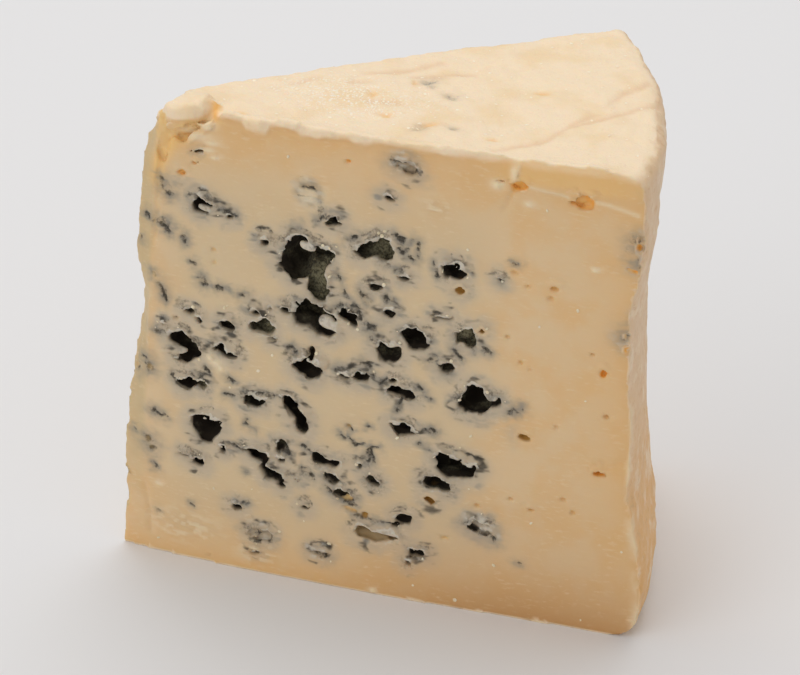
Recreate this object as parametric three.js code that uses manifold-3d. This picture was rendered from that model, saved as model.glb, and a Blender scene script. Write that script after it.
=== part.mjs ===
// A wedge of soft blue cheese, cut by wire from a small drum-shaped wheel and standing on its base.
// It is one solid: pale paste with a thin natural rind on top, underneath and round the outside, and
// open mould hollows where the two cuts pass through the blue veins.
//
// Frame: millimetres, +Z up. The front cut faces -Y, its tip points to -X and the rind is at +X.
// The origin is on the base, under the middle of the wedge's box.

import * as THREE from "three";
import { mergeVertices } from "three/addons/utils/BufferGeometryUtils.js";
import Module from "manifold-3d";

const wasm = await Module();
wasm.setup();

// The whole wheel
const WHEEL_RADIUS = 99.5;
const WHEEL_HEIGHT = 90;
const TOP_EDGE_RADIUS = 3;
const BASE_EDGE_RADIUS = 5;
const RIM_RISE = 0.9; // the top's outer ring stands a little above its middle
const RIM_INSIDE = 0.72; // the ring starts and is full at these shares of the radius
const RIM_FULL = 0.93;
const RIND_LUMP = 0.4;
const SIDE_WAIST = [
  // height, and how far the side is drawn in there
  [5, -1],
  [12, -1.1],
  [20, 0.2],
  [30, 1.6],
  [42, 1.7],
  [54, 2.5],
  [63, 2.7],
  [70, 1.9],
  [76, 0.9],
  [87, 0.7],
];

// The two cuts and the blunted tip
const CUT_ANGLE = THREE.MathUtils.degToRad(34);
const CUT_LENGTH = 89; // front cut, from the blunted tip to the rind
const TIP_FACET = 3.5; // the tip's narrow flat runs this far on past the front cut
const TIP_SETBACK = 1.1; // and is turned this far back
const BACK_BOW = 3; // the wire bowed outwards through the back cut
const WIRE_RIPPLE = 0.22;
const TIP_EDGE = [
  // height, and how far the tip's ragged outer edge is broken back there
  [-10, 0],
  [12, 0],
  [24, -0.5],
  [36, 0],
  [45, 1],
  [54, 1.4],
  [62, 0.1],
  [72, 0.4],
  [100, 0.8],
];

// How the soft paste has settled
const TIP_SLUMP = 2.4;
const TIP_ROUND = 3.5; // how far the tip is rounded off at the top
const TIP_ROUND_FROM = 0.88; // share of the height where that rounding starts
const TIP_SPREAD = 2.6; // how far the top of the tip has spread to the back
const RIND_SLUMP = 0.5;
const BASE_BULGE = 1.2;

// Hollows are placed in hundredths of the cut's length and of the wheel's height
const ALONG = CUT_LENGTH / 100;
const UP = WHEEL_HEIGHT / 100;
const TIP_START = WHEEL_RADIUS - CUT_LENGTH; // from the wheel's axis
const HOLLOW_LUMP = 0.17;
const HOLLOW_INSET = 0.22; // share of its depth that a hollow's middle lies behind the cut
const HOLLOW_SEED = 41;
const DEEPEST_HOLLOW = 0.3; // share of the wedge's thickness
const BACK_HOLLOWS = 20;
const VEINED_ALONG = [10, 72];
const VEINED_UP = [12, 82];
const BACK_HOLLOW_WIDE = [3, 8];
const FINE_HOLLOW = 6.4; // hollows larger than this are made with more faces

// Front cut: along from the tip, up from the base, wide, tall, turn in degrees
const FRONT_HOLLOWS = [
  [29.8, 72.1, 6.5, 8.8, 0],
  [33.8, 73.3, 6.5, 4.8, -10],
  [34.2, 67.5, 4.6, 9, 10],
  [33.5, 60.8, 8.4, 5, -20],
  [36, 58.1, 4.6, 3.2, -20],
  [43.5, 76.7, 5.6, 3.8, 10],
  [47, 77.7, 4.8, 5.6, 30],
  [36.8, 81.7, 2.9, 2.7, 0],
  [61.3, 75.3, 5, 4.2, 10],
  [64.5, 61.3, 3.8, 4.8, -30],
  [54.5, 59.3, 6, 4.6, -15],
  [49.5, 55.4, 4.8, 3.8, 15],
  [60.6, 54.1, 2.8, 2.4, 0],
  [40.8, 61.1, 6, 2.4, -35],
  [23.7, 56.3, 5.4, 3.2, 0],
  [16.5, 55.6, 3.4, 2.4, 0],
  [7, 50.1, 6, 3.4, -20],
  [8.8, 47.9, 4, 5, 0],
  [16, 49.6, 4.8, 2.8, -10],
  [33, 49.3, 6.2, 4.6, -15],
  [44.1, 49.2, 3.2, 2.5, 0],
  [52.4, 47.2, 8, 2.3, 0],
  [67, 48, 6, 6.8, -15],
  [70.3, 48.5, 3, 2.4, 30],
  [8.3, 40.8, 4.4, 3.4, 0],
  [22.6, 39.7, 5, 3.2, 5],
  [31.3, 37.9, 8.4, 3.1, -60],
  [13.1, 32.1, 5.8, 7, -20],
  [23.7, 27.4, 4.6, 3.8, 0],
  [26.7, 23.6, 5, 3.4, -35],
  [11.5, 23.1, 4, 2.6, -40],
  [53.4, 39.3, 4.4, 3.1, -5],
  [63.4, 32.9, 10, 5.2, -5],
  [59.9, 27.7, 6, 2.6, 0],
  [37.4, 29, 6.5, 2.2, -10],
  [54, 18.5, 3.4, 2, 20],
  [48.5, 14, 9, 2.6, 0],
  [56.8, 11.2, 2.9, 2, 0],
  [68.8, 19.8, 4.2, 2.4, 0],
  [24.6, 8.6, 4.6, 2.8, 0],
  [9.9, 80.5, 4.2, 2, -10],
  [51, 95.7, 4.6, 2.8, 0],
  [86, 94.1, 4.4, 3.3, 0],
  [73.5, 95.7, 4.6, 2.2, 0],
  [92, 37, 2.2, 2.4, 0],
];

// The broken top corner of the tip: the breaks under, beside and beyond a knob of rind, and the knob
const TIP_BREAKS = [
  [5.6, 96.2, 10.5, 3.6, 12],
  [1.2, 92.4, 2.4, 9, 4],
  [11.4, 100.8, 1.8, 5, -15],
];
const TIP_KNOB = [5, 98.8, 10.5, 4.8, 8];
const TIP_KNOB_INSET = 1.2;

/** Repeatable random numbers from 0 to 1. */
function randomFrom(seed) {
  let state = seed;
  return () => {
    state = (state * 1664525 + 1013904223) % 4294967296;
    return state / 4294967296;
  };
}

/** The same shape with only its places kept, so that triangles that meet share their corners. */
function shareCorners(geometry) {
  geometry.deleteAttribute("normal");
  geometry.deleteAttribute("uv");
  return mergeVertices(geometry, 1e-4);
}

/** A closed solid from a geometry, without the triangles that collapse when corners are shared. */
function solidFrom(geometry) {
  const shared = shareCorners(geometry);
  const corners = shared.index.array;
  const triangles = [];
  for (let i = 0; i < corners.length; i += 3) {
    const [a, b, c] = [corners[i], corners[i + 1], corners[i + 2]];
    if (a !== b && b !== c && c !== a) {
      triangles.push(a, b, c);
    }
  }
  const vertProperties = new Float32Array(shared.attributes.position.array);
  const triVerts = new Uint32Array(triangles);
  return new wasm.Manifold(new wasm.Mesh({ numProp: 3, vertProperties, triVerts }));
}

/** Moves every corner of a geometry by a function that changes the point it is given. */
function reshape(geometry, move) {
  const place = geometry.attributes.position;
  const point = new THREE.Vector3();
  for (let i = 0; i < place.count; i += 1) {
    move(point.fromBufferAttribute(place, i));
    place.setXYZ(i, point.x, point.y, point.z);
  }
  return geometry;
}

/** Half of the wheel's section, from the middle of its base out round the side to the middle of its top. */
function wheelProfile() {
  const rings = 12;
  const edgeSteps = 4;
  const sideSteps = 13;
  const quarter = Math.PI / 2;
  const waist = SIDE_WAIST.map(([height, inward]) => new THREE.Vector2(WHEEL_RADIUS - inward, height));
  const side = new THREE.SplineCurve(waist).getPoints(sideSteps);
  const base = side[0].x - BASE_EDGE_RADIUS;
  const top = side[sideSteps].x - TOP_EDGE_RADIUS;
  const outline = [];
  for (let i = 0; i <= rings; i += 1) {
    outline.push(new THREE.Vector2((base * i) / rings, 0));
  }
  for (let i = 1; i < edgeSteps; i += 1) {
    const turn = (quarter * i) / edgeSteps;
    const rise = BASE_EDGE_RADIUS * (1 - Math.cos(turn));
    outline.push(new THREE.Vector2(base + BASE_EDGE_RADIUS * Math.sin(turn), rise));
  }
  outline.push(...side);
  for (let i = 1; i < edgeSteps; i += 1) {
    const turn = (quarter * i) / edgeSteps;
    const rise = WHEEL_HEIGHT - TOP_EDGE_RADIUS * (1 - Math.sin(turn));
    outline.push(new THREE.Vector2(top + TOP_EDGE_RADIUS * Math.cos(turn), rise));
  }
  for (let i = rings; i >= 0; i -= 1) {
    outline.push(new THREE.Vector2((top * i) / rings, WHEEL_HEIGHT));
  }
  return outline;
}

/** The whole wheel, with a gently lumpy rind and a raised outer ring on top. */
function wheel() {
  const segments = 96;
  const geometry = new THREE.LatheGeometry(wheelProfile(), segments, Math.PI / segments);
  geometry.rotateX(Math.PI / 2);
  reshape(geometry, (point) => {
    const radius = Math.hypot(point.x, point.y);
    const angle = Math.atan2(point.y, point.x);
    const share = point.z / WHEEL_HEIGHT;
    const sideLump = Math.sin(angle * 19 + point.z * 0.09) * Math.sin(point.z * 0.13 - angle * 7);
    const stretch = 1 + (RIND_LUMP * sideLump * Math.min(1, share * 4)) / WHEEL_RADIUS;
    point.x *= stretch;
    point.y *= stretch;
    const rim = THREE.MathUtils.smoothstep(radius / WHEEL_RADIUS, RIM_INSIDE, RIM_FULL);
    const topLump = Math.sin(point.x * 0.17 + 0.8) * Math.sin(point.y * 0.21 - point.x * 0.05);
    point.z += share ** 4 * (RIM_RISE * rim + 0.6 * RIND_LUMP * topLump);
  });
  return solidFrom(geometry);
}

/** The slight waves that a wire leaves where it is drawn through soft paste. */
function wireWave(along, height) {
  const sway = Math.sin(height * 0.11 + 0.5) + 0.7 * Math.sin(along * 0.09 + height * 0.05);
  return WIRE_RIPPLE * (sway + 0.6 * Math.sin(height * 0.37 - along * 0.06));
}

/** The back cut in plan: where it starts at the tip, its slope and how far it bows at a distance along. */
function backCut() {
  const start = new THREE.Vector2(TIP_START - TIP_FACET, TIP_SETBACK);
  const end = new THREE.Vector2(Math.cos(CUT_ANGLE), Math.sin(CUT_ANGLE)).multiplyScalar(WHEEL_RADIUS);
  const run = end.clone().sub(start);
  const bowAt = (x) => BACK_BOW * Math.sin(Math.PI * THREE.MathUtils.clamp((x - start.x) / run.x, 0, 1));
  return { start, slope: run.angle(), bowAt };
}

/** The space between the two cuts and behind the blunted tip, taller and longer than the wheel. */
function cutSpace() {
  const reach = 6;
  const farEnd = WHEEL_RADIUS + reach;
  const cut = backCut();
  const edge = new THREE.SplineCurve(TIP_EDGE.map(([height, back]) => new THREE.Vector2(height, back)));
  const edgePoints = edge.getPoints(100);
  const brokenBack = (height) => edgePoints.find((point) => point.x >= height).y;
  const geometry = new THREE.BoxGeometry(1, 1, 1, 16, 2, 24);
  reshape(geometry, (point) => {
    const alongShare = point.x + 0.5;
    const acrossShare = point.y + 0.5;
    const height = THREE.MathUtils.lerp(-reach, WHEEL_HEIGHT + reach, point.z + 0.5);
    const front = new THREE.Vector2(THREE.MathUtils.lerp(TIP_START, farEnd, alongShare), 0);
    const tip = cut.start.x + brokenBack(height);
    const back = new THREE.Vector2(THREE.MathUtils.lerp(tip, farEnd, alongShare), 0);
    front.y = wireWave(front.x, height);
    back.y = cut.start.y + (back.x - cut.start.x) * Math.tan(cut.slope) + cut.bowAt(back.x);
    back.y -= wireWave(back.x + WHEEL_RADIUS, height);
    front.lerp(back, acrossShare);
    point.set(front.x, front.y, height);
  });
  return solidFrom(geometry);
}

/** A lumpy ball set into the front cut, as the form of a hollow or a knob. */
function lumpyBall([along, up, wide, tall, turn], random) {
  const size = Math.max(wide, tall);
  const ball = shareCorners(new THREE.IcosahedronGeometry(1, size > FINE_HOLLOW ? 2 : 1));
  const phase = [random(), random(), random()].map((draw) => draw * Math.PI * 2);
  const thickness = (TIP_START + along * ALONG) * Math.sin(CUT_ANGLE);
  const depth = Math.min(0.3 * (wide + tall) * ALONG + 1, DEEPEST_HOLLOW * thickness);
  reshape(ball, (point) => {
    const bumps = Math.sin(point.x * 4.1 + phase[0]) + Math.sin(point.z * 4.7 + phase[1]);
    point.multiplyScalar(1 + HOLLOW_LUMP * (0.6 * bumps + 0.4 * Math.sin(point.y * 5.3 + phase[2])));
    point.set((point.x * wide * ALONG) / 2, point.y * depth, (point.z * tall * UP) / 2);
  });
  ball.rotateY(-THREE.MathUtils.degToRad(turn));
  ball.translate(TIP_START + along * ALONG, depth * HOLLOW_INSET, up * UP);
  return ball;
}

/** Hollows of the same kind for the back cut, spread over the veined middle of the paste. */
function backHollows(random) {
  const places = [];
  const between = ([low, high], share) => THREE.MathUtils.lerp(low, high, share);
  while (places.length < BACK_HOLLOWS) {
    const along = between(VEINED_ALONG, random());
    const up = between(VEINED_UP, random());
    const wide = between(BACK_HOLLOW_WIDE, random() ** 1.6);
    const gapTo = (other) => Math.hypot(other[0] - along, other[1] - up) - (other[2] + wide) / 2;
    if (places.every((other) => gapTo(other) > 2)) {
      places.push([along, up, wide, wide * between([0.55, 0.95], random()), between([-60, 60], random())]);
    }
  }
  return places;
}

/** Lets the soft paste settle: the tip leans back and spreads at its top, and the cuts belly out low down. */
function settle(point) {
  const radius = Math.hypot(point.x, point.y);
  const share = (radius - TIP_START) / CUT_LENGTH;
  const height = point.z / WHEEL_HEIGHT;
  const across = Math.atan2(point.y, point.x) / CUT_ANGLE;
  const lean = 2 * height - 1;
  const nearTip = THREE.MathUtils.clamp(1 - 3 * share, 0, 1.2) ** 2;
  const nearTop = THREE.MathUtils.clamp((height - TIP_ROUND_FROM) / (1 - TIP_ROUND_FROM), 0, 1) ** 2;
  const rounding = TIP_ROUND * nearTip * nearTop;
  const outward = (lean * (TIP_SLUMP * (1 - share) - RIND_SLUMP * share) + rounding) / radius;
  const bellyShare = THREE.MathUtils.clamp(share, 0, 1) ** 0.65;
  const belly = BASE_BULGE * (1 - height) ** 2 * Math.sin(Math.PI * bellyShare);
  const spread = TIP_SPREAD * nearTip * nearTop * THREE.MathUtils.clamp(across, 0, 1);
  const sideways = (belly * (2 * across - 1) + spread) / radius;
  const { x, y } = point;
  point.x += outward * x - sideways * y;
  point.y += outward * y + sideways * x;
}

/** The finished wedge as a three.js geometry. */
function wedgeGeometry() {
  const random = randomFrom(HOLLOW_SEED);
  const cut = backCut();
  let paste = wheel().intersect(cutSpace());
  paste = paste.add(solidFrom(lumpyBall(TIP_KNOB, random).translate(0, TIP_KNOB_INSET, 0)));
  for (const place of [...FRONT_HOLLOWS, ...TIP_BREAKS]) {
    paste = paste.subtract(solidFrom(lumpyBall(place, random)));
  }
  for (const place of backHollows(random)) {
    const ball = lumpyBall(place, random);
    const along = TIP_START + place[0] * ALONG;
    ball.scale(1, -1, 1).translate(-TIP_START, 0, 0).rotateZ(cut.slope);
    ball.translate(cut.start.x, cut.start.y + cut.bowAt(along * Math.cos(cut.slope)), 0);
    ball.index.array.reverse();
    paste = paste.subtract(solidFrom(ball));
  }
  const mesh = paste.getMesh();
  const geometry = new THREE.BufferGeometry();
  geometry.setAttribute("position", new THREE.BufferAttribute(mesh.vertProperties, 3));
  geometry.setIndex(new THREE.BufferAttribute(mesh.triVerts, 1));
  reshape(geometry, settle);
  geometry.computeBoundingBox();
  geometry.computeVertexNormals();
  return geometry;
}

const paste = new THREE.MeshStandardMaterial({ color: 0xe6cd9d, roughness: 0.6, metalness: 0 });
const geometry = wedgeGeometry();
const wedge = new THREE.Mesh(geometry, paste);
wedge.name = "cheese_wedge";
const middle = geometry.boundingBox.getCenter(new THREE.Vector3());
wedge.position.set(-middle.x, -middle.y, -geometry.boundingBox.min.z);

const cheese = new THREE.Group();
cheese.add(wedge);

export default cheese;
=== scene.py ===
import math
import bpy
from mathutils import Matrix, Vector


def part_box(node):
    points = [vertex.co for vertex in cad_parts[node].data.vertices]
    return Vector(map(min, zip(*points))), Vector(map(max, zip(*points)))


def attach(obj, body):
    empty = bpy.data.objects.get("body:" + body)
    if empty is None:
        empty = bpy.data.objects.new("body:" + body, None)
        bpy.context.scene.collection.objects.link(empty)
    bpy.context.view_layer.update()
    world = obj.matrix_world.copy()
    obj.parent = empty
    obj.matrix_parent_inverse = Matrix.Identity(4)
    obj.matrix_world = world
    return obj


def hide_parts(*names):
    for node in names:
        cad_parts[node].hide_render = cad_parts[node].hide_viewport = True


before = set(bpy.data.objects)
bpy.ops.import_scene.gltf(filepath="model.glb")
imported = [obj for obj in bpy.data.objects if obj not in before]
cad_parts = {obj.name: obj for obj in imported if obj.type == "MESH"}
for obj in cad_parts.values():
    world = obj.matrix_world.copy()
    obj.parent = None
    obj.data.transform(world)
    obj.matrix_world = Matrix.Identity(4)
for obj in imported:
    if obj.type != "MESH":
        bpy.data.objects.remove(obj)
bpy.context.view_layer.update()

from types import SimpleNamespace

import bmesh
import bpy
import numpy as np
import openvdb
from mathutils import Matrix, Vector
from mathutils.kdtree import KDTree

# The wedge
# One piece of soft curd, cut from a low drum with a wire: two flat cuts that meet in a blunt tip, with a
# thin natural rind round the outside. Blue mould has opened ragged hollows in the paste and lined them.

MM = 0.001
GRAIN = 0.4 * MM
BAND_CELLS = 6

# How the front cut lies in the frame: hundredths along run from the tip to the rind at half height, and
# hundredths up from the base to the top rind. The tip leans out over its base by twice this lean.
low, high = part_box("cheese_wedge")
CUT_TIP = low.x + 5.95 * MM
CUT_RIND = high.x - 1.7 * MM
CUT_BASE = 0.35 * MM
CUT_HEIGHT = 90 * MM
TIP_LEAN = 2.4 * MM
RIND_LEAN = -0.5 * MM
STRIP_SLOPE = 0.31
WHEEL_AXIS = (-52.87 * MM, -27.55 * MM)
RIND_REACH = 88 * MM
RIND_LEVELS = 30
BACK_CUT_ANGLE = math.radians(35.85)


def blend_step(value, start, end):
    """0 before start, 1 after end, and a smooth step between."""
    share = np.clip((value - start) / (end - start), 0, 1)
    return share * share * (3 - 2 * share)


def between(value, start, end, soft):
    """1 from start to end and 0 outside, with soft edges."""
    return blend_step(value, start - soft, start + soft) * blend_step(-value, -end - soft, -end + soft)


def bell(value, width):
    """1 where a value is 0, fading to nothing at about twice the width."""
    return np.exp(-np.square(value / width))


def oval(run, rise):
    """1 in the middle of an oval patch, fading out where the run and rise pass 1."""
    return np.exp(-np.square(run) - np.square(rise))


def cell_corners(part):
    """The eight corners of a cell, and how much each counts at a place part of the way across it."""
    sides = (1 - part, part)
    for i, j, k in np.ndindex(2, 2, 2):
        yield (i, j, k), sides[i][:, 0] * sides[j][:, 1] * sides[k][:, 2]


# Whole numbers with well mixed bits, which stir the place of a lump into a random height
STIR_SEED = 0x9E3779B1
STIR_AXES = (0x8DA6B343, 0xD8163841, 0xCB1AB31F)
STIR_ROUNDS = ((15, 0x2C1B3C6D), (12, 0x297A2D39))


def lumps(points, size, seed):
    """Smooth random lumps of about this size, from -1 to 1, the same each time."""
    scaled = np.asarray(points, np.float32) / np.float32(size)
    cell = np.floor(scaled)
    part = scaled - cell
    part = part * part * part * (part * (part * 6 - 15) + 10)
    cell = cell.astype(np.int64).astype(np.uint32)
    total = np.zeros(len(scaled), np.float32)
    for corner, weight in cell_corners(part):
        mixed = np.full(len(scaled), seed * STIR_SEED & 0xFFFFFFFF, np.uint32)
        for axis in range(3):
            mixed ^= (cell[:, axis] + np.uint32(corner[axis])) * np.uint32(STIR_AXES[axis])
        for shift, stir in STIR_ROUNDS:
            mixed ^= mixed >> np.uint32(shift)
            mixed *= np.uint32(stir)
        mixed ^= mixed >> np.uint32(15)
        total += weight * (mixed.astype(np.float32) / np.float32(2 ** 31) - 1)
    return total


def uneven(points, *kinds):
    """Lumps of several kinds added up, each with a strength, a size in millimetres and a seed."""
    return sum(strength * lumps(points, size * MM, seed) for strength, size, seed in kinds)


def spotted(points, size, seed, start, end):
    """1 in the spots where lumps of a size in millimetres stand high, 0 between them, with a soft step."""
    return blend_step(lumps(points, size * MM, seed), start, end)


def solid_arrays(mesh):
    """The corners and triangles of a copy of a mesh, with its loose triangles merged."""
    merged = bmesh.new()
    merged.from_mesh(mesh)
    bmesh.ops.remove_doubles(merged, verts=merged.verts, dist=0.001 * MM)
    bmesh.ops.triangulate(merged, faces=merged.faces)
    merged.verts.index_update()
    corners = np.array([vert.co for vert in merged.verts], np.float32)
    triangles = np.array([[vert.index for vert in face.verts] for face in merged.faces], np.uint32)
    merged.free()
    return corners, triangles


corners, triangles = solid_arrays(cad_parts["cheese_wedge"].data)
face_points = corners[triangles]
face_middles = face_points.mean(axis=1)
face_normals = np.cross(face_points[:, 1] - face_points[:, 0], face_points[:, 2] - face_points[:, 0])
face_normals /= np.linalg.norm(face_normals, axis=1, keepdims=True)


class CutSurface:
    """The gently curved sheet that the wire left, fitted through the flat of one cut."""

    FIT_SPAN = 50 * MM
    FIT_POWERS = [(i, j) for i in range(5) for j in range(5 - i)]
    FIT_ROUNDS = 5
    FLAT_ENOUGH = 0.97
    MOST_SUNK = 0.35 * MM
    MOST_PROUD = 0.6 * MM

    def __init__(self, angle, side):
        self.run = np.array([math.cos(angle), math.sin(angle), 0])
        self.out = np.array([side * -math.sin(angle), side * math.cos(angle), 0])
        chosen = face_middles[face_normals @ self.out > self.FLAT_ENOUGH].astype(float)
        for _ in range(self.FIT_ROUNDS):
            terms = self.terms(chosen @ self.run, chosen[:, 2])
            self.fit = np.linalg.lstsq(terms, chosen @ self.out, rcond=None)[0]
            sunk = terms @ self.fit - chosen @ self.out
            chosen = chosen[(sunk < self.MOST_SUNK) & (sunk > -self.MOST_PROUD)]

    def terms(self, run, up):
        run, up = run / self.FIT_SPAN, up / self.FIT_SPAN
        return np.stack([run ** i * up ** j for i, j in self.FIT_POWERS], -1)

    def height(self, run, up):
        """How far out the cut lies at a place along it and up it."""
        return self.terms(run, up) @ self.fit

    def depth(self, points):
        """How deep points lie under the cut."""
        return self.height(points @ self.run, points[:, 2]) - points @ self.out


front_cut = CutSurface(0, -1)
back_cut = CutSurface(BACK_CUT_ANGLE, 1)

# How far the rind side lies from the wheel's axis at each height
radial = face_middles[:, :2] - WHEEL_AXIS
radius = np.linalg.norm(radial, axis=1)
rind_side = (np.sum(face_normals[:, :2] * radial, axis=1) / radius > 0.9) & (radius > RIND_REACH)
rind_bins = np.linspace(0, CUT_HEIGHT, RIND_LEVELS + 1)
rind_level = np.clip(np.digitize(face_middles[rind_side, 2], rind_bins), 1, RIND_LEVELS)
rind_levels = np.unique(rind_level)
rind_radius = [np.median(radius[rind_side][rind_level == level]) for level in rind_levels]
rind_middles = (rind_bins[rind_levels] + rind_bins[rind_levels - 1]) / 2


def side_depth(points):
    """How deep points lie under the rind side."""
    reach = np.hypot(points[:, 0] - WHEEL_AXIS[0], points[:, 1] - WHEEL_AXIS[1])
    return np.interp(points[:, 2], rind_middles, rind_radius) - reach


def crust_depth(points):
    """How deep points lie under the nearest of the rind side, the top rind and the base."""
    return np.minimum(np.minimum(side_depth(points), CUT_HEIGHT - points[:, 2]), points[:, 2])


def cut_edges(up):
    """Where the front cut starts at the tip and ends at the rind, at a share of its height."""
    lean = 2 * up - 1
    return CUT_TIP + TIP_LEAN * lean, CUT_RIND + RIND_LEAN * lean


def past_tip(points):
    """How far points lie past the tip's edge, towards the rind."""
    return points[:, 0] - cut_edges(points[:, 2] / CUT_HEIGHT)[0]


def on_front(along, up, depth=0.0):
    """A place on the front cut, in hundredths, sunk by a depth. Below 0 along is the strip at the tip."""
    start, end = cut_edges(up / 100)
    x = start + (end - start) * along / 100
    z = CUT_BASE + CUT_HEIGHT * up / 100
    y = -front_cut.height(x, z) + max(0, start - x) * STRIP_SLOPE + depth
    return np.array([x, float(y), z])


# The block of cells that the wedge is carved in: how far each lies outside the surface, less inside
cell_space = openvdb.createLinearTransform(voxelSize=GRAIN)
cell_grid = openvdb.FloatGrid.createLevelSetFromPolygons(
    corners, triangles=triangles, transform=cell_space, halfWidth=BAND_CELLS
)
first_cell, last_cell = (np.array(corner) for corner in cell_grid.evalActiveVoxelBoundingBox())
block = np.empty(last_cell - first_cell + 1, np.float32)
cell_grid.copyToArray(block, ijk=tuple(int(i) for i in first_cell))


def cell_places(cells):
    """Where cells of the block lie in the frame."""
    return (cells + first_cell) * GRAIN


def read_block(points):
    """The block's value at any points, shaded between the eight cells round each."""
    place = np.clip(points / GRAIN - first_cell, 0, np.array(block.shape) - 1.001)
    cell = place.astype(np.int32)
    total = np.zeros(len(points), np.float32)
    for corner, weight in cell_corners((place - cell).astype(np.float32)):
        total += weight * block[tuple((cell + corner).T)]
    return total


# Each mark that is carved below has a place along and up the front cut in hundredths, a width and height in
# millimetres, and a tilt in degrees. Its egg shape reaches this share of its width each way.
MARK_SPAN = 0.45
MARK_MARGIN = 1.2 * MM
MARK_LEAST = 0.4 * MM


def turned(tilt):
    """The run, depth and up directions of a mark on the front cut, turned in the cut by its tilt."""
    cosine, sine = math.cos(math.radians(tilt)), math.sin(math.radians(tilt))
    return np.array([[cosine, 0, sine], [0, 1, 0], [-sine, 0, cosine]])


def mark_field(centre, radii, tilt, rag):
    """The cells round a mark, and how far each lies outside its ragged egg shape."""
    reach = max(radii) + MARK_MARGIN
    start = np.maximum(np.floor((centre - reach) / GRAIN).astype(int) - first_cell, 0)
    stop = np.minimum(np.ceil((centre + reach) / GRAIN).astype(int) - first_cell + 1, block.shape)
    window = tuple(slice(a, b) for a, b in zip(start, stop))
    cells = np.stack(np.meshgrid(*(np.arange(a, b) for a, b in zip(start, stop)), indexing="ij"), -1)
    places = cell_places(cells.reshape(-1, 3))
    local = (places - centre) @ turned(tilt).T
    near = np.linalg.norm(local / radii, axis=1)
    steep = np.linalg.norm(local / np.square(radii), axis=1) + 1e-9
    distance = near * (near - 1) / steep + rag * lumps(places, 0.9 * MM, 61)
    return window, distance.reshape(cells.shape[:-1]).astype(np.float32)


def press_out(along, up, wide, tall, tilt, deep=1.1, rag=0.22 * MM):
    """Presses a pit or slit into the front cut, deep as a share of its smaller width."""
    size = np.array([wide * MARK_SPAN * MM, min(wide, tall) * deep * MM, tall * MARK_SPAN * MM])
    window, distance = mark_field(on_front(along, up), np.maximum(size, MARK_LEAST), tilt, rag)
    block[window] = np.maximum(block[window], -distance)


def add_curd(along, up, wide, tall, tilt, deep=0.9, sunk=0.35 * MM, rag=0.12 * MM):
    """Leaves a knob or tongue of curd standing in the front cut, deep in millimetres."""
    size = np.array([wide * MARK_SPAN * MM, deep * MM, tall * MARK_SPAN * MM])
    window, distance = mark_field(on_front(along, up, sunk), size, tilt, rag)
    block[window] = np.minimum(block[window], distance)


def add_floors(floors, thick, rag):
    """Leaves walls and floors of curd behind the cut, each mark with how far behind in millimetres."""
    for *mark, behind in floors:
        add_curd(*mark, deep=thick, sunk=(behind + thick) * MM, rag=rag)


# The roll along the top of the cut, where the wire dragged the soft rind down, the knob of rind at the tip,
# and the notch between them
RIND_ROLLS = [
    (15, 100.4, 6, 2.4, 0), (20.6, 99.4, 6.4, 3.4, -4), (27.4, 100.6, 9, 2.2, -2), (34, 100, 8, 2.6, -2),
    (41, 100.1, 9, 2.3, -2), (49, 100.3, 10, 2, -2), (57, 100.6, 11, 1.8, -2), (66, 100.9, 13, 1.6, -1),
    (76, 101.2, 16, 1.4, -1), (88, 101.4, 18, 1.2, -1),
]
TIP_KNOB = (5.4, 99.3, 10.5, 4.2, 18)
TIP_NOTCH = (11, 101.2, 2.2, 7, -18)
for mark in RIND_ROLLS:
    add_curd(*mark, deep=1.5, sunk=0.5 * MM)
add_curd(*TIP_KNOB, deep=4, sunk=2.9 * MM)
press_out(*TIP_NOTCH, deep=1.6)

# The soft top edge: the cells near the top are eased into their neighbours, which rounds the rims of the
# cuts. The last layers of the block have no neighbours above, so they stay as they are.
ROUND_FROM = 83.5 * MM
ROUND_FULL = 88 * MM
ROUND_BEHIND = 8 * MM
ROUND_TIMES = 7
first_layer = int(ROUND_FROM / GRAIN) - first_cell[2]
eased = block[:, :, first_layer:].copy()
for _ in range(ROUND_TIMES):
    for axis in range(3):
        eased = (np.roll(eased, 1, axis) + eased + np.roll(eased, -1, axis)) / 3
slab = cell_places(np.indices(eased.shape).reshape(3, -1).T + (0, 0, first_layer))
share = blend_step(slab[:, 2], ROUND_FROM, ROUND_FULL)
share = share * blend_step(-front_cut.depth(slab), -ROUND_BEHIND, -ROUND_BEHIND / 2)
share = share.reshape(eased.shape).astype(np.float32)
share[:, :, -3:] = 0
block[:, :, first_layer:] += share * (eased - block[:, :, first_layer:])

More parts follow.
